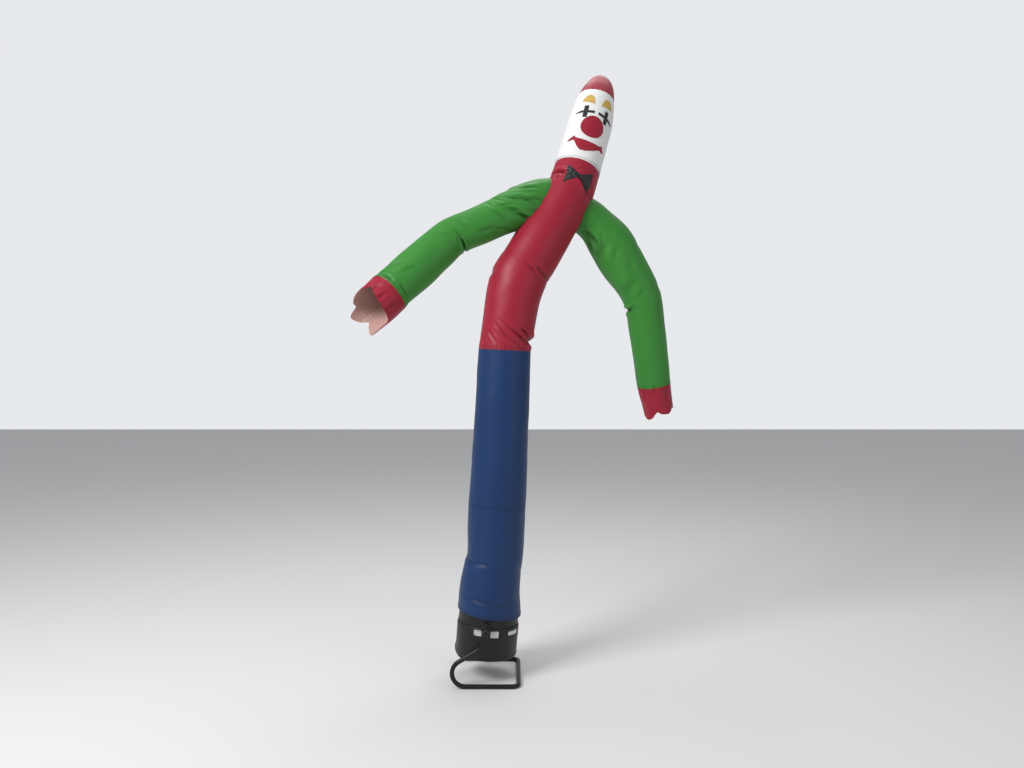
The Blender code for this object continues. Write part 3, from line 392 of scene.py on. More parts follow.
class Tube:
    """A cloth tube's middle line and half widths, with the relief of its folds and seams."""

    def __init__(self, sections, creases=(), gathers=(), back_seam=180.0):
        self.names = [section.name for section in sections]
        self.table = np.array([section[1:] for section in sections], float)
        self.table[:, :3] += FOOT
        self.reach = reach_of(self.table[:, :3])
        self.slopes = slopes_of(self.reach, self.table)
        self.creases = creases
        self.gathers = gathers
        self.back_seam = back_seam

    def to(self, name):
        """Distance along the line to the section of this name."""
        return self.reach[self.names.index(name)]

    def at(self, along):
        """Middle and half widths at distances along the line, as rows of five numbers."""
        return curve_between(self.reach, self.table, self.slopes, np.asarray(along, float))

    def spokes(self, along, turn):
        """Middle points and the spokes from them to the smooth skin."""
        values = self.at(along)
        along = np.asarray(along)
        direction = self.at(along + DIRECTION_STEP)[..., :3] - self.at(along - DIRECTION_STEP)[..., :3]
        direction /= np.linalg.norm(direction, axis=-1, keepdims=True)
        front = np.broadcast_to(np.array((0.0, -1.0, 0.0)), direction.shape)
        front = front - direction * np.sum(front * direction, axis=-1, keepdims=True)
        front /= np.linalg.norm(front, axis=-1, keepdims=True)
        side = np.cross(direction, front)
        angle = np.radians(turn)[..., None]
        spoke = front * (values[..., 4:5] * np.cos(angle)) + side * (values[..., 3:4] * np.sin(angle))
        return values[..., :3], spoke

    def folds(self, along, turn, radius):
        """How far creases and puckers push the skin, in metres, outwards positive."""
        push = np.zeros(np.broadcast(along, turn).shape)
        for crease in self.creases:
            around = np.radians(turned_apart(turn, crease.turn)) * radius
            up = along - crease.along
            lean = radians(crease.slant)
            lengthwise = around * cos(lean) + up * sin(lean)
            crosswise = up * cos(lean) - around * sin(lean) - crease.bow * lengthwise**2
            within = np.abs(lengthwise) < crease.length / 2
            fade = np.where(within, np.cos(pi * lengthwise / crease.length) ** 2, 0)
            trough = np.exp(-(crosswise / crease.width) ** 2)
            shoulder = np.exp(-((np.abs(crosswise) - RIDGE_AWAY * crease.width) / crease.width) ** 2)
            push += crease.depth * fade * (crease.ridge * shoulder - trough)
        for number, gather in enumerate(self.gathers):
            fade = np.exp(-np.abs(along - gather.along) / gather.reach)
            wave = (
                np.sin(np.radians(turn * gather.count) + 1.3 * number)
                + 0.7 * np.sin(np.radians(turn * (gather.count // 2 + 3)) + 2.1 + number)
                + 0.5 * np.sin(np.radians(turn * (gather.count * 2 - 5)) + 0.4)
            )
            push += gather.depth * fade * np.minimum(wave / 1.6, 0.4)
        return push

    def relief(self, along, turn, radius):
        """Creases, puckers, slow waves of the blown cloth and the lengthwise seam."""
        angle = np.radians(turn)
        waves = sum(
            wave.part * np.sin(wave.along * along + wave.around * angle + wave.start) for wave in WAVES
        )
        around = np.radians(turned_apart(turn, self.back_seam)) * radius
        seam = SEAM_RISE * np.exp(-(around / SEAM_HALF_WIDTH) ** 4)
        pucker = PUCKER_RISE * np.exp(-np.abs(around) / PUCKER_REACH) * np.sin(2 * pi * along / PUCKER_PITCH)
        return self.folds(along, turn, radius) + WAVE_RISE * waves + seam + pucker

    def skin(self, along, turn, out=0.0):
        """Points of the outer face, moved out by a distance."""
        along, turn = np.broadcast_arrays(np.asarray(along, float), np.asarray(turn, float))
        middle, spoke = self.spokes(along, turn)
        radius = np.linalg.norm(spoke, axis=-1)
        grown = radius + out + self.relief(along, turn, radius)
        return middle + spoke * (grown / radius)[..., None]


def turns_of(sides):
    """Even turns around a tube, in degrees."""
    return np.arange(sides) * 360.0 / sides


def steps_between(start, end, step):
    """Even places from start to end, about a step apart."""
    return np.linspace(start, end, max(2, int(round((end - start) / step)) + 1))


def linked(name, data):
    """A new object of the scene for a mesh, a light or a camera."""
    made = bpy.data.objects.new(name, data)
    bpy.context.scene.collection.objects.link(made)
    return made


def smoothed(mesh, angle):
    """Shade a mesh smooth but for edges sharper than the angle."""
    mesh.shade_smooth()
    mesh.set_sharp_from_angle(angle=radians(angle))


def ring_quads(rows, sides, closed=False):
    """Faces between rings of points, back to the first ring where they close."""
    ring = np.arange(sides)
    after = (ring + 1) % sides
    bands = []
    for row in range(rows if closed else rows - 1):
        low, high = row * sides, (row + 1) % rows * sides
        bands.append(np.stack((low + ring, low + after, high + after, high + ring), -1))
    return np.concatenate(bands)


def looks_inwards(points, quads):
    """Whether the faces of a closed mesh point to its inside."""
    corners = points[quads]
    volume = 0.0
    for corner in (1, 2):
        across = np.cross(corners[:, corner] - corners[:, 0], corners[:, corner + 1] - corners[:, 0])
        volume += np.sum(across * corners[:, 0])
    return volume < 0


def shell(name, outer, inner, closed, flat, fold_shade):
    """A closed sheet between two grids of points, with a cloth UV map in metres."""
    rows, columns = outer.shape[:2]
    spans = columns if closed else columns - 1
    row, column = (grid.ravel() for grid in np.meshgrid(np.arange(rows - 1), np.arange(spans), indexing="ij"))
    edge, rise = np.arange(spans), np.arange(rows - 1)
    # Faces by the rows and the columns of their corners, and the side of the cloth these lie on.
    groups = [
        ((row, row, row + 1, row + 1), (column, column + 1, column + 1, column), (0, 0, 0, 0)),
        ((row, row + 1, row + 1, row), (column, column, column + 1, column + 1), (1, 1, 1, 1)),
        ((np.full(spans, 0),) * 4, (edge + 1, edge, edge, edge + 1), (0, 0, 1, 1)),
        ((np.full(spans, rows - 1),) * 4, (edge, edge + 1, edge + 1, edge), (0, 0, 1, 1)),
    ]
    if not closed:
        groups.append(((rise, rise + 1, rise + 1, rise), (np.full(rows - 1, 0),) * 4, (0, 0, 1, 1)))
        groups.append(((rise + 1, rise, rise, rise + 1), (np.full(rows - 1, spans),) * 4, (0, 0, 1, 1)))
    levels = np.concatenate([np.stack(group[0], -1) for group in groups])
    grids = np.concatenate([np.stack(group[1], -1) for group in groups])
    sides = np.concatenate([np.tile(group[2], (len(group[0][0]), 1)) for group in groups])
    quads = levels * columns + grids % columns + sides * (rows * columns)
    points = np.concatenate((outer.reshape(-1, 3), inner.reshape(-1, 3)))
    if looks_inwards(points, quads):
        quads, grids, levels = quads[:, ::-1], grids[:, ::-1], levels[:, ::-1]
    mesh = bpy.data.meshes.new(name)
    mesh.vertices.add(len(points))
    mesh.vertices.foreach_set("co", points.ravel())
    mesh.loops.add(quads.size)
    mesh.loops.foreach_set("vertex_index", quads.ravel())
    mesh.polygons.add(len(quads))
    mesh.polygons.foreach_set("loop_start", np.arange(0, quads.size, 4))
    mesh.update(calc_edges=True)
    width, length = flat
    pairs = np.stack((grids * width / spans, levels * length / (rows - 1)), -1)
    mesh.uv_layers.new(name="cloth").data.foreach_set("uv", pairs.ravel())
    # Each point keeps its fold depth, which the cloth's colour uses to paint shade into creases and light
    # onto their ridges.
    layer = mesh.attributes.new("crease", "FLOAT", "POINT")
    layer.data.foreach_set("value", np.concatenate((fold_shade.ravel(), fold_shade.ravel())))
    mesh.validate()
    smoothed(mesh, 50)
    return linked(name, mesh)


def sheet_of(name, tube, along, turns, closed=True, out=0.0, thick=CLOTH):
    """A piece of the tube's cloth over a grid of places, its size as cut and its area."""
    outer, inner = tube.skin(along, turns, out), tube.skin(along, turns, out - thick)
    around = np.broadcast_to(turns, along.shape)
    radius = np.linalg.norm(tube.spokes(along, around)[1], axis=-1)
    width = float(np.mean(radius)) * radians(360.0 if closed else float(np.ptp(turns)))
    lengths = along[-1] - along[0]
    length = float(np.mean(lengths))
    piece = shell(name, outer, inner, closed, (width, length), tube.folds(along, around, radius))
    return piece, (width, float(np.max(lengths))), width * length


def cut_lengths(cuts, turns):
    """How far the cut edge lies from the seam at each turn, with its corners a little rounded."""
    places, lengths = zip(*cuts)
    return sum(np.interp((turns + away) % 360, places, lengths) for away in CUT_ROUNDING) / len(CUT_ROUNDING)


def hem_places(tube, turns):
    """Where the dipping hem lies along the line at each turn."""
    return tube.to("hem") + HEM_RISE - HEM_DIP * np.cos(np.radians(turns - HEM_LOW))


def sloped(tube, turns, slope):
    """The seam at the wrist, which slopes around the arm."""
    return tube.to("wrist") + slope * np.sin(np.radians(turns))


def feed(tree, socket, term):
    """Give a socket another node's output or a plain value."""
    if isinstance(term, bpy.types.NodeSocket):
        tree.links.new(term, socket)
    else:
        socket.default_value = term


def node(tree, kind, inputs=None, **values):
    """One node of a tree with its settings and inputs, right of the one before it."""
    made = tree.nodes.new(kind)
    made.location = (NODE_STEP * len(tree.nodes), 0)
    for key, value in values.items():
        setattr(made, key, value)
    for name, term in (inputs or {}).items():
        feed(tree, made.inputs[name], term)
    return made


def maths(tree, operation, *terms):
    """The result of a sum on one or two terms."""
    return node(tree, "ShaderNodeMath", dict(enumerate(terms)), operation=operation).outputs[0]


def mapped(tree, value, old, new):
    """A value carried from one range to another."""
    ends = dict(zip(("From Min", "From Max", "To Min", "To Max"), (*old, *new)))
    return node(tree, "ShaderNodeMapRange", {"Value": value, **ends}).outputs["Result"]


def blended(tree, factor, first, second, kind="MIX"):
    """The colour between two others."""
    inputs = {"Factor": factor, "A": first, "B": second}
    return node(tree, "ShaderNodeMix", inputs, data_type="RGBA", blend_type=kind).outputs["Result"]


def noise(tree, place, scale, detail, roughness=0.5):
    """Fractal noise over a place."""
    inputs = {"Vector": place, "Scale": scale, "Detail": detail, "Roughness": roughness}
    return node(tree, "ShaderNodeTexNoise", inputs).outputs["Fac"]


def bumped(tree, height, strength, distance, **normal):
    """The normal of a skin raised by a height, over another normal where one is given."""
    inputs = {"Height": height, "Strength": strength, "Distance": distance, **normal}
    return node(tree, "ShaderNodeBump", inputs).outputs["Normal"]


def new_material(name, look):
    """A material with its viewport colour, its tree and its object-space place."""
    made = bpy.data.materials.new(name)
    made.use_nodes = True
    made.diffuse_color = (*look, 1)
    return made, made.node_tree, node(made.node_tree, "ShaderNodeTexCoord").outputs["Object"]


def shade_with(tree, inputs):
    """Set or feed the main shader's inputs."""
    for name, term in inputs.items():
        feed(tree, tree.nodes["Principled BSDF"].inputs[name], term)


def coated_nylon(name, look, dark, light, roughness=0.44, weave=1.0, coat=0.02):
    """Ripstop nylon with a coating: a fine grid of threads, soft sheen, slightly uneven colour, and painted
    shade in the creases with painted light on their ridges.
    """
    made, tree, place = new_material(name, look)
    chart = node(tree, "ShaderNodeUVMap", uv_map="cloth").outputs["UV"]
    split = node(tree, "ShaderNodeSeparateXYZ", {0: chart}).outputs
    grids = []
    for pitch, power, size in ((0.0055, 14.0, 1.0), (0.0007, 1.0, 0.35)):
        lines = []
        for axis in ("X", "Y"):
            wave = maths(tree, "COSINE", maths(tree, "MULTIPLY", split[axis], pi / pitch))
            lines.append(maths(tree, "POWER", maths(tree, "ABSOLUTE", wave), power))
        grids.append(maths(tree, "MULTIPLY", maths(tree, "MAXIMUM", *lines), size * weave))
    crumple = noise(tree, place, 26.0, 5.0, 0.55)
    soft = bumped(tree, crumple, 0.35, 0.003)
    drift = mapped(tree, noise(tree, place, 3.2, 2.0), (0.3, 0.7), (0.3, 0.7))
    # Painted shade and painted light: the colour is darkened in crease troughs and lightened on crease
    # ridges, by the fold depth each point keeps.
    fold = node(tree, "ShaderNodeAttribute", attribute_name="crease").outputs["Fac"]
    crease_shade = mapped(tree, fold, (-0.012, 0.003), (0.62, 1.12))
    shade_grey = node(tree, "ShaderNodeCombineColor", dict.fromkeys(("Red", "Green", "Blue"), crease_shade))
    tint = blended(tree, drift, (*dark, 1), (*light, 1))
    shade_with(tree, {
        "Base Color": blended(tree, 1.0, tint, shade_grey.outputs["Color"], "MULTIPLY"),
        "Roughness": mapped(tree, crumple, (0.0, 1.0), (roughness - 0.06, roughness + 0.08)),
        "Normal": bumped(tree, maths(tree, "ADD", *grids), 0.16, 0.0003, Normal=soft),
        "Coat Weight": coat,
        "Coat Roughness": 0.45,
        "Sheen Weight": 0.03,
        "Sheen Roughness": 0.5,
        "Specular IOR Level": 0.32,
    })
    return made


def painted(name, dark, light, roughness, metallic, grain, bump, edge_colour=None):
    """Painted metal or moulded plastic: fine orange peel, uneven gloss and a lighter colour on sharp convex
    edges.
    """
    made, tree, place = new_material(name, light)
    slow = noise(tree, place, 18.0, 4.0)
    colour = blended(tree, slow, (*dark, 1), (*light, 1))
    # Sharp convex edges, found by their pointiness, are given a lighter colour.
    if edge_colour:
        shape = node(tree, "ShaderNodeNewGeometry").outputs["Pointiness"]
        colour = blended(tree, mapped(tree, shape, (0.53, 0.62), (0.0, 1.0)), colour, (*edge_colour, 1))
    shade_with(tree, {
        "Base Color": colour,
        "Roughness": mapped(tree, slow, (0.0, 1.0), (roughness - 0.08, roughness + 0.10)),
        "Normal": bumped(tree, noise(tree, place, grain, 3.0), bump, 0.0004),
        "Metallic": metallic,
        "Specular IOR Level": 0.3,
        "Coat Weight": 0.08,
        "Coat Roughness": 0.25,
    })
    return made


# Each finish: its maker, its name, and for cloth the viewport, dark and light colours.
FINISHES = {
    "blue": (coated_nylon, "blue nylon", (0.003, 0.030, 0.115), (0.002, 0.024, 0.092), (0.004, 0.035, 0.128)),
    "red": (coated_nylon, "red nylon", (0.310, 0.009, 0.028), (0.270, 0.007, 0.022), (0.345, 0.011, 0.034)),
    "green": (coated_nylon, "green nylon", (0.034, 0.215, 0.026), (0.028, 0.185, 0.02), (0.04, 0.24, 0.032)),
    "white": (coated_nylon, "white nylon", (0.76, 0.76, 0.75), (0.73, 0.73, 0.72), (0.79, 0.79, 0.78), 0.5),
    "flesh": (coated_nylon, "flesh cloth", (0.50, 0.30, 0.26), (0.46, 0.27, 0.23), (0.55, 0.34, 0.30), 0.6),
    "gold": (coated_nylon, "gold nylon", (0.58, 0.37, 0.08), (0.52, 0.32, 0.06), (0.64, 0.42, 0.10), 0.5),
    "black": (coated_nylon, "black nylon", (0.02, 0.02, 0.02), (0.012, 0.012, 0.013), (0.026, 0.026, 0.028)),
    "webbing": (coated_nylon, "orange webbing", (0.42, 0.13, 0.03), (0.36, 0.10, 0.02), (0.48, 0.16, 0.04),
                0.7, 2.0, 0.0),
    "drum": (painted, "black drum paint", (0.006, 0.006, 0.007), (0.011, 0.012, 0.012), 0.42, 0.0, 900, 0.25,
             (0.04, 0.04, 0.04)),
    "rail": (painted, "black rail paint", (0.005, 0.005, 0.006), (0.009, 0.009, 0.010), 0.32, 0.0, 600, 0.15,
             (0.05, 0.05, 0.05)),
    "knob": (painted, "black knob plastic", (0.01, 0.01, 0.01), (0.018, 0.018, 0.018), 0.50, 0.0, 1400, 0.4),
    "screw": (painted, "zinc screws", (0.42, 0.42, 0.43), (0.55, 0.55, 0.56), 0.32, 1.0, 700, 0.2),
    "label": (painted, "blank label film", (0.52, 0.53, 0.52), (0.66, 0.67, 0.66), 0.42, 0.0, 500, 0.1),
}


def finish(name):
    """The named finish as a material, made once."""
    maker, label, *looks = FINISHES[name]
    return bpy.data.materials.get(label) or maker(label, *looks)


def place_piece(piece, finish_name, slot_name, *nodes):
    """Give a piece its finish, hang it under the root and hide the solids it stands for."""
    piece.data.materials.clear()
    piece.data.materials.append(finish(finish_name))
    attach(piece, "root")
    if nodes:
        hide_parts(*nodes)


def thread_tree():
    """Geometry nodes that lay short thread stitches along every path of a piece."""
    tree = bpy.data.node_groups.get("thread stitches")
    if tree:
        return tree
    tree = bpy.data.node_groups.new("thread stitches", "GeometryNodeTree")
    face = tree.interface
    face.new_socket("Geometry", in_out="INPUT", socket_type="NodeSocketGeometry")
    for name, value in (("Pitch", 0.005), ("Stitch length", 0.0038), ("Thread radius", THREAD_RADIUS)):
        socket = face.new_socket(name, in_out="INPUT", socket_type="NodeSocketFloat")
        socket.subtype = "DISTANCE"
        socket.default_value = value
    face.new_socket("Thread", in_out="INPUT", socket_type="NodeSocketMaterial")
    face.new_socket("Geometry", in_out="OUTPUT", socket_type="NodeSocketGeometry")
    start = node(tree, "NodeGroupInput").outputs
    path = node(tree, "GeometryNodeMeshToCurve", {"Mesh": start["Geometry"]}).outputs["Curve"]
    even = node(tree, "GeometryNodeResampleCurve", {"Curve": path, "Length": start["Pitch"]}, mode="LENGTH")
    way = node(tree, "GeometryNodeInputTangent").outputs["Tangent"]
    turn = node(tree, "FunctionNodeAlignRotationToVector", {"Vector": way}, axis="Z")
    sizes = {"Vertices": 5, "Radius": start["Thread radius"], "Depth": start["Stitch length"]}
    stitch = node(tree, "GeometryNodeMeshCylinder", sizes)
    laid = node(tree, "GeometryNodeInstanceOnPoints", {
        "Points": even.outputs["Curve"],
        "Instance": stitch.outputs["Mesh"],
        "Rotation": turn.outputs["Rotation"],
    })
    real = node(tree, "GeometryNodeRealizeInstances", {"Geometry": laid.outputs["Instances"]})
    coat = node(tree, "GeometryNodeSetMaterial", {
        "Geometry": real.outputs["Geometry"],
        "Material": start["Thread"],
    })
    node(tree, "NodeGroupOutput", {"Geometry": coat.outputs["Geometry"]})
    return tree


def plain_mesh(piece):
    """Turn a piece's modifiers into its mesh."""
    graph = bpy.context.evaluated_depsgraph_get()
    made = bpy.data.meshes.new_from_object(piece.evaluated_get(graph))
    piece.modifiers.clear()
    old = piece.data
    piece.data = made
    bpy.data.meshes.remove(old)
    made.name = piece.name


def stitch_rows(name, paths, colour, pitch, radius=THREAD_RADIUS):
    """Rows of stitches along paths, each a list of points and whether it closes."""
    points, edges = [], []
    for path, closed in paths:
        first = len(points)
        points += [tuple(point) for point in path]
        edges += [(first + step, first + step + 1) for step in range(len(path) - 1)]
        if closed:
            edges.append((len(points) - 1, first))
    mesh = bpy.data.meshes.new(name)
    mesh.from_pydata(points, edges, [])
    piece = linked(name, mesh)
    rows = piece.modifiers.new("stitches", "NODES")
    rows.node_group = thread_tree()
    sizes = {
        "Pitch": pitch,
        "Stitch length": pitch * STITCH_PART,
        "Thread radius": radius,
        "Thread": finish(colour),
    }
    for socket in rows.node_group.interface.items_tree:
        if socket.in_out == "INPUT" and socket.name in sizes:
            rows[socket.identifier] = sizes[socket.name]
    plain_mesh(piece)
    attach(piece, "root")


def ring_path(tube, along, turns):
    """A closed row of points around a tube."""
    return tube.skin(along, turns, THREAD_OUT), True


class AirDancerSettings(bpy.types.PropertyGroup):
    """Sizes that a user of this part may want to change."""
    around: IntProperty(name="Facets around", description="Facets around a body tube", default=176,
                        min=48, max=256)
    around_arm: IntProperty(name="Facets around an arm", description="Facets around an arm", default=136,
                            min=40, max=220)
    ring_step: FloatProperty(name="Ring step", description="Distance between rings of facets", default=0.0065,
                             min=0.004, max=0.03, unit="LENGTH")
    cloth: FloatProperty(name="Cloth", description="Thickness of the cloth", default=CLOTH,
                         min=0.001, max=0.003, unit="LENGTH")
    stitch: FloatProperty(name="Stitch pitch", description="Distance from stitch to stitch", default=0.005,
                          min=0.003, max=0.02, unit="LENGTH")
    floor_colour: FloatVectorProperty(name="Floor", description="Colour of the floor", subtype="COLOR",
                                      size=3, default=(0.76, 0.76, 0.76), min=0, max=1)
    key_power: FloatProperty(name="Key light", description="Power of the main light", default=240.0, min=0,
                             unit="POWER")


def settings():
    return bpy.context.scene.air_dancer


def body_tube():
    return Tube(BODY_SECTIONS, BODY_CREASES, BODY_GATHERS)


def arms():
    """Each arm's side, tube, slope of its wrist seam and cut edge."""
    left = Tube(LEFT_ARM_SECTIONS, LEFT_ARM_CREASES, LEFT_ARM_GATHERS)
    right = Tube(RIGHT_ARM_SECTIONS, RIGHT_ARM_CREASES, RIGHT_ARM_GATHERS, back_seam=120.0)
    return ("left", left, LEFT_SEAM_SLOPE, LEFT_CUTS), ("right", right, 0.0, RIGHT_CUTS)


class AIRDANCER_OT_body(bpy.types.Operator):
    """Make the blue legs, red torso, white head and red cap, open inside"""
    bl_idname = "airdancer.body"
    bl_label = "Body tubes"

    def execute(self, context):
        tube = body_tube()
        turns = turns_of(settings().around)
        rows = []
        for name, colour, start, end, below in BODY_PANELS:
            low = hem_places(tube, turns) if start == "hem" else np.full(len(turns), tube.to(start))
            high = tube.to(end) - GAP
            parts = steps_between(0.0, 1.0, settings().ring_step / (high - low.min()))[:, None]
            along = low + (high - low) * parts
            piece, flat, _ = sheet_of(f"cloth_{name}", tube, along, turns, thick=settings().cloth)
            place_piece(piece, colour, f"{colour}_cloth", name)
            rows += [ring_path(tube, low + inset, turns) for inset in (0.006, 0.013)]
        self.make_cap(tube, turns)
        stitch_rows("thread_body_seams", rows, "black", settings().stitch)
        back = steps_between(float(hem_places(tube, 180.0)), tube.to("cap seam"), 0.006)
        paths = [
            (tube.skin(back, np.full(len(back), 180.0 + side), THREAD_OUT), False) for side in (-1.6, 1.6)
        ]
        stitch_rows("thread_back_seam", paths, "black", settings().stitch)
        return {"FINISHED"}

    def make_cap(self, tube, turns):
        """The closed top, whose rings end in a small gathered disc."""
        places = steps_between(tube.to("cap seam"), tube.to("cap top") - CAP_SUNK, 0.005)
        along = np.repeat(places[:, None], len(turns), axis=1)
        ahead = tube.at(places[-1:])[0, :3] - tube.at(places[-1:] - 0.01)[0, :3]
        ahead /= np.linalg.norm(ahead)
        faces = []
        for out in (0.0, -CLOTH):
            face = tube.skin(along, turns, out)
            face[-1] = face[-1] + ahead * out
            centre = face[-1].mean(axis=0)
            rings = [
                centre + (face[-1] - centre) * part + ahead * (CAP_RISE * (1 - part**2))
                for part in (0.82, 0.6, 0.35, 0.12, 0.004)
            ]
            faces.append(np.concatenate((face, np.array(rings))))
        piece = shell("cloth_cap", *faces, True, (0.60, 0.19), np.zeros(faces[0].shape[:2]))
        place_piece(piece, "red", "red_cloth", "cap")


def torso_skin(tube):
    """The torso's outer face alone, to lay the sleeves on."""
    sides = 96
    places = steps_between(tube.to("chest"), tube.to("chin seam"), 0.012)
    points = tube.skin(np.repeat(places[:, None], sides, axis=1), turns_of(sides))
    faces = ring_quads(len(places), sides)
    return BVHTree.FromPolygons(points.reshape(-1, 3).tolist(), faces.tolist())


def root_places(arm, body, skin, turns):
    """Where the sleeve meets the torso at each turn."""
    line = body.at(np.linspace(body.to("chest"), body.to("chin seam"), 60))[:, :3]

    def outside(place, turn):
        point = Vector(arm.skin(np.array([place]), np.array([turn]))[0])
        nearest = skin.find_nearest(point)[0]
        gaps = np.linalg.norm(line - np.array(point), axis=1)
        middle = Vector(line[int(np.argmin(gaps))])
        return (point - middle).length > (nearest - middle).length + 0.0002
    found = []
    for turn in turns:
        low = arm.to("upper arm")
        while low > 0 and outside(low, turn):
            low -= ROOT_STEP
        high = low + ROOT_STEP
        for _ in range(9):
            middle = (low + high) / 2
            if outside(middle, turn):
                high = middle
            else:
                low = middle
        found.append(max(high, 0.0))
    return np.array(found)


class AIRDANCER_OT_sleeves(bpy.types.Operator):
    """Make both green sleeves, laid on the torso round their armholes"""
    bl_idname = "airdancer.sleeves"
    bl_label = "Sleeves"

    def execute(self, context):
        body = body_tube()
        skin = torso_skin(body)
        turns = turns_of(settings().around_arm)
        rows = []
        for side, arm, slope, _ in arms():
            roots = root_places(arm, body, skin, turns)
            ends = sloped(arm, turns, slope) - GAP
            parts = steps_between(0.0, 1.0, settings().ring_step / SLEEVE_LENGTH)[:, None]
            along = roots + (ends - roots) * parts
            piece, flat, area = sheet_of(f"cloth_sleeve_{side}", arm, along, turns, thick=settings().cloth)
            place_piece(piece, "green", "green_cloth", f"sleeve_{side}")
            for inset in (0.005, 0.011):
                rows.append(ring_path(arm, roots + inset, turns))
                rows.append(ring_path(arm, ends - inset, turns))
            column = int(round(arm.back_seam / 360 * len(turns))) % len(turns)
            line = roots[column] + (ends[column] - roots[column]) * np.linspace(0, 1, 170)
            rows.append((arm.skin(line, np.full(len(line), arm.back_seam), THREAD_OUT), False))
        stitch_rows("thread_sleeves", rows, "green", settings().stitch)
        return {"FINISHED"}


class AIRDANCER_OT_hands(bpy.types.Operator):
    """Make the red cuffs with their cut fingers and the panel inside the left one"""
    bl_idname = "airdancer.hands"
    bl_label = "Cuffs and hand"

    def execute(self, context):
        turns = turns_of(180)
        rows = []
        for side, arm, slope, cuts in arms():
            starts = sloped(arm, turns, slope)
            reach = cut_lengths(cuts, turns)
            along = starts + reach * np.linspace(0, 1, 34)[:, None]
            piece, flat, area = sheet_of(f"cloth_cuff_{side}", arm, along, turns)
            self.place_end(piece, "red", f"cuff_{side}", flat, area, f"sleeve_{side}")
            for place in (starts + 0.005, starts + 0.011, starts + reach - 0.005):
                rows.append(ring_path(arm, place, turns))
        stitch_rows("thread_cuffs", rows, "red", settings().stitch)
        arm = arms()[0][1]
        kept = np.linspace(*HAND_TURNS, 100)
        starts = sloped(arm, kept, LEFT_SEAM_SLOPE) + HAND_START
        reach = cut_lengths(LEFT_CUTS, kept) + 0.003 - HAND_START
        along = starts + reach * np.linspace(0, 1, 36)[:, None]
        piece, flat, area = sheet_of("cloth_hand_left", arm, along, kept, closed=False, out=-CLOTH - 0.0004,
                                     thick=0.0015)
        self.place_end(piece, "flesh", "hand_left", flat, area, "cuff_left")
        return {"FINISHED"}

    def place_end(self, piece, colour, name, flat, area, held_by):
        """Dress the loose cloth at an arm's end."""
        place_piece(piece, colour, f"{colour}_cloth", name)


def smooth_spans(spans, step, smooth):
    """The same outline with many spans, curved between them where it is smooth."""
    at = np.array([span.at for span in spans])
    ends = np.array([[span.low, span.high] for span in spans])
    places = [at[0]]
    for before, after in zip(at, at[1:]):
        count = max(1, int(round((after - before) / step)))
        places += list(before + (after - before) * np.arange(1, count + 1) / count)
    places = np.array(places)
    if smooth:
        return places, curve_between(at, ends, np.gradient(ends, at, axis=0), places)
    return places, np.stack([np.interp(places, at, ends[:, side]) for side in (0, 1)], -1)


def sewn_patch(tube, patch):
    """One flat piece of cloth sewn on a tube, and the row of stitches near its edge."""
    places, ends = smooth_spans(patch.spans, 0.003, patch.smooth)
    tall = ends[:, 1] - ends[:, 0]

    def laid(at, up):
        along = tube.to(patch.place) + patch.up + up
        return along, patch.turn + patch.flip * np.degrees(at / tube.at(along)[..., 3])
    along, turn = laid(places, ends[:, 0] + tall * np.linspace(0, 1, 18)[:, None])
    outer, inner = tube.skin(along, turn, 0.0017), tube.skin(along, turn, 0.0004)
    width, length = float(np.ptp(places)), float(np.ptp(ends))
    area = float(np.trapz(tall, places))
    piece = shell(f"patch_{patch.node}", outer, inner, False, (width, length), np.zeros(along.shape))
    place_piece(piece, patch.colour, f"{patch.colour}_cloth", patch.node)
    length = min(length, area / (0.5 * width))
    inset = np.minimum(STITCH_INSET, 0.28 * tall)
    inner_at = np.clip(places, places[0] + STITCH_INSET, places[-1] - STITCH_INSET)
    path_at = np.concatenate((inner_at, inner_at[::-1]))
    path_up = np.concatenate((ends[:, 0] + inset, (ends[:, 1] - inset)[::-1]))
    return tube.skin(*laid(path_at, path_up), 0.0021), True


def face_patches(tube):
    """The clown face's sewn pieces and the bow tie."""
    radius = float(tube.at(tube.to("nose height"))[3])
    disc = [
        Span(-NOSE_RADIUS * cos(angle), -NOSE_RADIUS * sin(angle), NOSE_RADIUS * sin(angle))
        for angle in np.radians(np.linspace(4, 176, 33))
    ]
    patches = []
    for side, way in (("left", -1), ("right", 1)):
        brow = FACE_TURN + way * degrees(BROW_APART / radius)
        eye = FACE_TURN + way * degrees(EYE_APART / radius)
        patches.append(Patch(f"brow_{side}", "gold", "nose height", BROW_UP, brow, BROW_SPANS, True, -way))
        patches.append(Patch(f"eye_{side}", "black", "nose height", EYE_UP, eye, EYE_SPANS, False, -way))
    patches.append(Patch("nose", "red", "nose height", NOSE_UP, FACE_TURN, disc, False, 1))
    patches.append(Patch("mouth", "red", "mouth height", 0.0, FACE_TURN, MOUTH_SPANS, False, 1))
    patches.append(Patch("bow_tie", "black", "neck crease", BOW_UP, BOW_TURN, BOW_SPANS, True, 1))
    return patches


class AIRDANCER_OT_face(bpy.types.Operator):
    """Sew the brows, crossed eyes, nose, mouth and bow tie on"""
    bl_idname = "airdancer.face"
    bl_label = "Face and bow tie"

    def execute(self, context):
        tube = body_tube()
        rows = {}
        for patch in face_patches(tube):
            rows.setdefault(patch.colour, []).append(sewn_patch(tube, patch))
        for colour, paths in rows.items():
            name = "black_cloth" if colour == "black" else colour
            stitch_rows(f"thread_face_{name}", paths, colour, 0.0035, 0.00035)
        return {"FINISHED"}


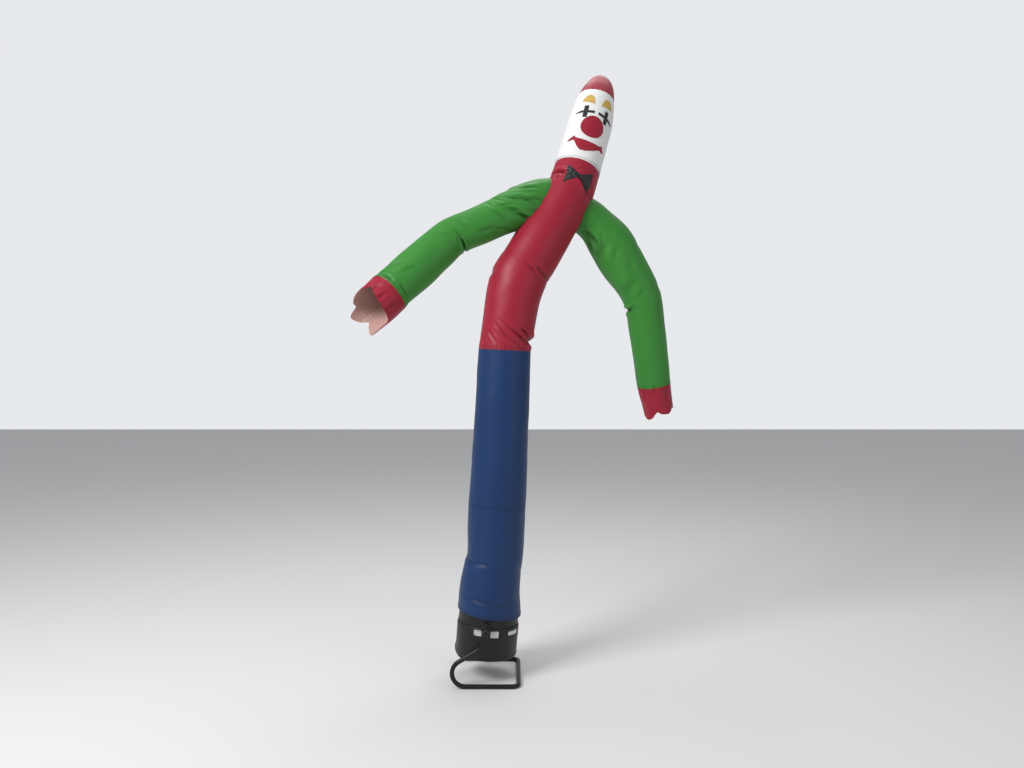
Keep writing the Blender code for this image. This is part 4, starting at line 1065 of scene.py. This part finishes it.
def lathe(name, profile, sides, turned, lobe=0.0):
    """A closed profile of radius and height turned about the upright axis, with its faces outwards."""
    turns = np.radians(turns_of(sides))
    profile = np.array(profile)
    radius = profile[:, :1] * (1 - lobe * (0.5 + 0.5 * np.cos(turns * KNOB_LOBES)))
    height = np.repeat(profile[:, 1:], sides, axis=1)
    points = np.stack((radius * np.sin(turns), -radius * np.cos(turns), height), -1).reshape(-1, 3)
    quads = ring_quads(len(profile), sides, closed=True)
    if looks_inwards(points, quads):
        quads = quads[:, ::-1]
    mesh = bpy.data.meshes.new(name)
    mesh.from_pydata(points.tolist(), [], quads.tolist())
    mesh.transform(turned)
    smoothed(mesh, 32)
    return linked(name, mesh)


def drum_matrix():
    """The blower's lean about its foot."""
    foot = Matrix.Translation((DRUM_X + FOOT[0], FOOT[1], DRUM_BOTTOM))
    return foot @ Matrix.Rotation(radians(DRUM_LEAN), 4, "Y")


def bead(radius, height, size):
    """Profile points of a rolled bead that stands out of a wall."""
    angles = np.linspace(-pi / 2, pi / 2, 7)
    return [(radius + size * cos(angle), height + size * sin(angle)) for angle in angles]


def joined(name, pieces):
    """Several meshes as one piece."""
    with bpy.context.temp_override(active_object=pieces[0], selected_editable_objects=pieces):
        bpy.ops.object.join()
    pieces[0].name = name
    pieces[0].data.name = name
    return pieces[0]


class AIRDANCER_OT_drum(bpy.types.Operator):
    """Make the blower's housing, outlet collar and intake guard"""
    bl_idname = "airdancer.drum"
    bl_label = "Blower drum"

    def execute(self, context):
        top = DRUM_GROOVE - DRUM_BOTTOM
        inner = DRUM_RADIUS - DRUM_WALL
        foot = DRUM_RADIUS - DRUM_ROUND
        wall = [(inner - DRUM_LIP, 0.0), (foot, 0.0)]
        wall += [(foot + DRUM_ROUND * sin(angle), DRUM_ROUND - DRUM_ROUND * cos(angle))
                 for angle in np.radians(np.arange(15, 91, 15))]
        wall += [(DRUM_RADIUS, 0.014)] + bead(DRUM_RADIUS, 0.0175, 0.0015) + [(DRUM_RADIUS, 0.021)]
        wall += [(DRUM_RADIUS, top - 0.018)] + bead(DRUM_RADIUS, top - 0.0145, 0.0015)
        wall += [(DRUM_RADIUS, top - 0.011)]
        wall += [(DRUM_RADIUS, top - 0.004), (DRUM_RADIUS - 0.0006, top - 0.0015), (DRUM_RADIUS - 0.002, top)]
        wall += [(inner - 0.006, top), (inner - 0.006, top - DRUM_WALL), (inner, top - DRUM_WALL)]
        wall += [(inner, DRUM_ROUND), (inner - DRUM_LIP, DRUM_WALL)]
        place_piece(lathe("blower_drum", wall, 120, drum_matrix()), "drum", "drum_paint", "drum_body")
        low, high = top + GAP, COLLAR_TOP - DRUM_BOTTOM
        bore = COLLAR_RADIUS - DRUM_WALL
        band = [(bore, low), (COLLAR_RADIUS - 0.0015, low), (COLLAR_RADIUS - 0.0015, low + 0.004)]
        band += [(COLLAR_RADIUS, low + 0.006)] + bead(COLLAR_RADIUS, low + 0.012, 0.0012)
        band += [(COLLAR_RADIUS, high - 0.011)] + bead(COLLAR_RADIUS, high - 0.006, 0.0025)
        band += [(COLLAR_RADIUS, high - 0.001), (COLLAR_RADIUS - 0.001, high), (bore, high)]
        place_piece(lathe("blower_collar", band, 120, drum_matrix()), "drum", "drum_paint", "drum_collar")
        self.make_guard(inner - DRUM_LIP - 0.0006)
        self.make_screws(low)
        return {"FINISHED"}

    def make_guard(self, reach):
        """Round wires and flat spokes around a plate with a rolled edge."""
        wires = []
        for step in range(9):
            radius = reach - 0.002 - step * (reach * 0.72) / 9
            ring = [(radius + WIRE_RADIUS * cos(angle), 0.0015 + WIRE_RADIUS * sin(angle))
                    for angle in np.radians(np.arange(0, 360, 60))]
            wires.append(lathe(f"wire_{step}", ring, 96, drum_matrix()))
        plate = [(0.002, 0.0), (reach * 0.24, 0.0), (reach * 0.25, 0.001), (reach * 0.25, 0.0028),
                 (reach * 0.22, 0.0034), (0.002, 0.0034)]
        wires.append(lathe("plate", plate, 64, drum_matrix()))
        half, long = 0.0028, reach - 0.001
        corners = [(x, y, z) for z in (0.0024, 0.0036) for x, y in
                   ((-long, -half), (long, -half), (long, half), (-long, half))]
        sides = [(3, 2, 1, 0), (4, 5, 6, 7), (0, 1, 5, 4), (1, 2, 6, 5), (2, 3, 7, 6), (3, 0, 4, 7)]
        for turn in range(0, 180, 45):
            bar = bpy.data.meshes.new("bar")
            bar.from_pydata(corners, [], sides)
            bar.transform(drum_matrix() @ Matrix.Rotation(radians(turn), 4, "Z"))
            wires.append(linked("bar", bar))
        place_piece(joined("blower_guard", wires), "drum", "drum_paint", "intake_guard")

    def make_screws(self, low):
        """Eight pan-head screws that hold the collar."""
        dome = [(0.0002, 0.0), (0.0042, 0.0), (0.0042, 0.0008), (0.0036, 0.0019), (0.0022, 0.0026),
                (0.0002, 0.0028)]
        place = Matrix.Translation((0, -(DRUM_RADIUS - 0.0003), low - 0.030))
        out = place @ Matrix.Rotation(radians(90), 4, "X")
        heads = []
        for turn in range(0, 360, 45):
            way = Matrix.Rotation(radians(turn + 22.5), 4, "Z")
            heads.append(lathe(f"screw_{turn}", dome, 20, drum_matrix() @ way @ out))
        place_piece(joined("blower_screws", heads), "rail", "drum_paint")


class AIRDANCER_OT_pivots(bpy.types.Operator):
    """Make the pivot bosses, washers and lobed hand knobs, front and back"""
    bl_idname = "airdancer.pivots"
    bl_label = "Pivots and knobs"

    def execute(self, context):
        start, end = DRUM_RADIUS - 0.006, BOSS_REACH
        boss = [(0.003, start), (BOSS_RADIUS, start), (BOSS_RADIUS, end - 0.006),
                (BOSS_RADIUS - 0.001, end - 0.004), (BOSS_RADIUS - 0.006, end - 0.003),
                (BOSS_RADIUS - 0.008, end), (0.003, end)]
        face = STAND_HALF_WIDTH + EYE_THICKNESS / 2 + GAP
        base, far = face + 0.0015, face + KNOB_DEPTH
        washer = [(0.004, face), (0.0135, face), (0.0135, base), (0.004, base)]
        # Most points of the knob's profile count from its rim and its base, or from its rim and its far end.
        grip = [(0.004, base), (0.0125, base), (0.0135, base + 0.004)]
        grip += [(KNOB_RADIUS - inset, base + up)
                 for inset, up in ((0.004, 0.006), (0.0012, 0.008), (0.0, 0.011))]
        grip += [(KNOB_RADIUS - inset, far - down)
                 for inset, down in ((0.0, 0.007), (0.0010, 0.0035), (0.0035, 0.001), (0.007, 0.0))]
        grip += [(0.009, far), (0.0075, far - 0.0012), (0.004, far - 0.0012)]
        for side, way in (("front", -1), ("back", 1)):
            pivot = Matrix.Translation((FOOT[0], FOOT[1], PIVOT_HEIGHT))
            turned = pivot @ Matrix.Rotation(radians(-90 * way), 4, "X")
            place_piece(lathe(f"pivot_boss_{side}", boss, 64, turned), "drum", "drum_paint", f"boss_{side}")
            place_piece(lathe(f"washer_{side}", washer, 40, turned), "screw", "knob_plastic")
            knob = lathe(f"hand_knob_{side}", grip, 120, turned, lobe=0.16)
            place_piece(knob, "knob", "knob_plastic", f"knob_{side}")
        return {"FINISHED"}


def rounded_route(points, step):
    """Even points of a smooth curve through a route."""
    points = np.array(points)
    reach = reach_of(points)
    return curve_between(reach, points, slopes_of(reach, points), steps_between(0.0, reach[-1], step))


def arc(centre, radius, start, end, steps, upright):
    """Points of an arc, upright or lying, by angle in degrees from +X."""
    angles = np.radians(np.linspace(start, end, steps + 1))
    first, second = radius * np.cos(angles), radius * np.sin(angles)
    still = np.zeros(len(angles))
    offset = np.stack((first, still, second) if upright else (first, second, still), -1)
    return [tuple(point) for point in np.array(centre) + offset]


def stand_points():
    """The stand's route from the front eye, round the floor, to the back eye."""
    front, rise = -STAND_HALF_WIDTH, RAIL_RADIUS
    bend = arc((STAND_BEND_X, front, rise + STAND_BEND), STAND_BEND, 90 + STAND_SLOPE, 270, 12, True)
    slope = tan(radians(STAND_SLOPE))
    elbow = np.array((STAND_ELBOW_X, front, bend[0][2] + (STAND_ELBOW_X - bend[0][0]) * slope))
    eye = np.array((0.0, front, PIVOT_HEIGHT))
    low_eye = eye + (elbow - eye) * 0.35
    start = np.array(bend[0])
    legs = [
        eye + np.array((0, 0, EYE_WIDTH * 0.55)), eye, low_eye, elbow + (low_eye - elbow) * 0.35,
        elbow + (start - elbow) * 0.06 + np.array((0, 0, 0.004)), elbow + (start - elbow) * 0.16,
        elbow + (start - elbow) * 0.6,
    ]
    corner = (STAND_RIGHT - STAND_CORNER, front + STAND_CORNER, rise)
    half = [tuple(point) for point in legs] + bend + [(-0.06, front, rise), (0.06, front, rise)]
    half += arc(corner, STAND_CORNER, -90, 0, 8, False)
    return half + [(x, -y, z) for x, y, z in reversed(half)]


class AIRDANCER_OT_stand(bpy.types.Operator):
    """Bend the stand from one painted tube with pressed eyes"""
    bl_idname = "airdancer.stand"
    bl_label = "Stand"

    def execute(self, context):
        route = rounded_route(stand_points(), ROUTE_STEP) + FOOT
        count = len(route)
        sides = 24
        turns = np.radians(turns_of(sides) + 7.5)
        normal = np.array((0.0, 1.0, 0.0))
        rings = []
        from_end = np.minimum(np.arange(count), count - 1 - np.arange(count)) * ROUTE_STEP
        for index in range(count):
            along = route[min(index + 1, count - 1)] - route[max(index - 1, 0)]
            along /= np.linalg.norm(along)
            normal = normal - along * normal.dot(along)
            normal /= np.linalg.norm(normal)
            other = np.cross(along, normal)
            part = min(1.0, max(0.0, (from_end[index] - 0.045) / 0.028))
            part = part * part * (3 - 2 * part)
            thick = EYE_THICKNESS / 2 + (RAIL_RADIUS - EYE_THICKNESS / 2) * part
            wide = EYE_WIDTH / 2 + (RAIL_RADIUS - EYE_WIDTH / 2) * part
            if from_end[index] < EYE_ROUND:
                wide *= (0.25 + 0.75 * (from_end[index] / EYE_ROUND)) ** 0.5
            ring = normal * (thick * np.cos(turns))[:, None] + other * (wide * np.sin(turns))[:, None]
            rings.append(route[index] + ring)
        points = np.concatenate(rings)
        quads = ring_quads(count, sides)
        last = (count - 1) * sides
        ends = [list(range(sides))[::-1], list(range(last, last + sides))]
        mesh = bpy.data.meshes.new("stand_tube")
        mesh.from_pydata(points.tolist(), [], quads.tolist() + ends)
        if looks_inwards(points, quads):
            mesh.flip_normals()
        smoothed(mesh, 50)
        place_piece(linked("stand_tube", mesh), "rail", "stand_paint", "stand")
        return {"FINISHED"}


class AIRDANCER_OT_labels(bpy.types.Operator):
    """Stick the blank labels and the webbing tab on the drum's side"""
    bl_idname = "airdancer.labels"
    bl_label = "Blank labels and tab"

    def execute(self, context):
        lean = tan(radians(DRUM_LEAN))
        across = (DRUM_RADIUS, DRUM_RADIUS)
        sections = [
            Section(f"ring {number}", DRUM_X + height * lean, 0.0, DRUM_BOTTOM + height, *across)
            for number, height in enumerate((0.0, 0.1, 0.2, 0.3))
        ]
        tube = Tube(sections)
        tube.relief = lambda along, turn, radius: np.zeros(np.shape(along))
        for trim in DRUM_TRIM:
            wide, tall, corner = trim.wide, trim.tall, LABEL_CORNER
            places = np.concatenate((
                -wide / 2 + corner * (1 - np.cos(np.linspace(0, pi / 2, 6))),
                np.linspace(-wide / 2 + corner, wide / 2 - corner, 14)[1:-1],
                wide / 2 - corner * (1 - np.cos(np.linspace(pi / 2, 0, 6))),
            ))
            edge = np.clip(wide / 2 - np.abs(places), 0, corner)
            cut = corner - np.sqrt(np.clip(corner**2 - (corner - edge) ** 2, 0, None))
            up = (tall / 2 - cut) * np.linspace(-1, 1, 12)[:, None]
            along = trim.height + up
            turns = trim.turn + np.degrees(places / DRUM_RADIUS) + 0 * up
            outer, inner = tube.skin(along, turns, 0.0012), tube.skin(along, turns, 0.0003)
            piece = shell(f"trim_{trim.name}", outer, inner, False, (wide, tall), np.zeros(along.shape))
            place_piece(piece, trim.finish, trim.slot, trim.name)
        return {"FINISHED"}


def area_light(name, place, target, size, power):
    """A soft square light that looks at a point."""
    lamp = bpy.data.lights.new(name, "AREA")
    lamp.energy = power
    lamp.size = size
    made = linked(name, lamp)
    made.location = place
    made.rotation_euler = (Vector(target) - Vector(place)).to_track_quat("-Z", "Y").to_euler()


class AIRDANCER_OT_stage(bpy.types.Operator):
    """Set the floor, the lights and the camera at the photograph's view"""
    bl_idname = "airdancer.stage"
    bl_label = "Stage"

    def execute(self, context):
        scene = context.scene
        mesh = bpy.data.meshes.new("floor")
        half = 14.0
        corners = [(-half, -half, 0), (half, -half, 0), (half, half, 0), (-half, half, 0)]
        mesh.from_pydata(corners, [], [(0, 1, 2, 3)])
        pale = bpy.data.materials.new("pale floor")
        pale.use_nodes = True
        shade_with(pale.node_tree, {"Base Color": (*settings().floor_colour, 1), "Roughness": 0.9})
        mesh.materials.append(pale)
        linked("floor", mesh)
        scene.world = bpy.data.worlds.new("studio")
        scene.world.use_nodes = True
        tree = scene.world.node_tree
        seen = node(tree, "ShaderNodeLightPath").outputs["Is Camera Ray"]
        sky = tree.nodes["Background"].inputs
        feed(tree, sky["Color"], (0.95, 0.97, 1.0, 1))
        feed(tree, sky["Strength"], mapped(tree, seen, (0.0, 1.0), (SKY_LIGHT, SKY_SEEN)))
        for name, place, target, size, part in LIGHTS:
            area_light(name, place, target, size, settings().key_power * part)
        lens = bpy.data.cameras.new("photo view")
        lens.lens = CAMERA_LENS
        lens.sensor_width = 36.0
        lens.clip_end = 60.0
        camera = linked("photo view", lens)
        camera.location = Vector(CAMERA) + Vector(FOOT)
        camera.rotation_euler = (radians(90 - CAMERA_PITCH), 0, 0)
        scene.camera = camera
        scene.view_settings.view_transform = "Standard"
        return {"FINISHED"}


OPERATORS = (
    AIRDANCER_OT_stage, AIRDANCER_OT_body, AIRDANCER_OT_sleeves, AIRDANCER_OT_hands, AIRDANCER_OT_face,
    AIRDANCER_OT_drum, AIRDANCER_OT_pivots, AIRDANCER_OT_stand, AIRDANCER_OT_labels,
)


class AIRDANCER_PT_panel(bpy.types.Panel):
    """Lists the air dancer's sizes and the buttons that make its pieces"""
    bl_label = "Air dancer"
    bl_idname = "AIRDANCER_PT_panel"
    bl_space_type = "VIEW_3D"
    bl_region_type = "UI"
    bl_category = "Air dancer"

    def draw(self, context):
        for name in AirDancerSettings.__annotations__:
            self.layout.prop(context.scene.air_dancer, name)
        for operator in OPERATORS:
            self.layout.operator(operator.bl_idname)


def register():
    for item in (AirDancerSettings, *OPERATORS, AIRDANCER_PT_panel):
        bpy.utils.register_class(item)
    bpy.types.Scene.air_dancer = PointerProperty(type=AirDancerSettings)


def unregister():
    del bpy.types.Scene.air_dancer
    for item in reversed((AirDancerSettings, *OPERATORS, AIRDANCER_PT_panel)):
        bpy.utils.unregister_class(item)


def main():
    register()
    bpy.ops.airdancer.stage()
    bpy.ops.airdancer.body()
    bpy.ops.airdancer.sleeves()
    bpy.ops.airdancer.hands()
    bpy.ops.airdancer.face()
    bpy.ops.airdancer.drum()
    bpy.ops.airdancer.pivots()
    bpy.ops.airdancer.stand()
    bpy.ops.airdancer.labels()


if __name__ == "__main__":
    main()
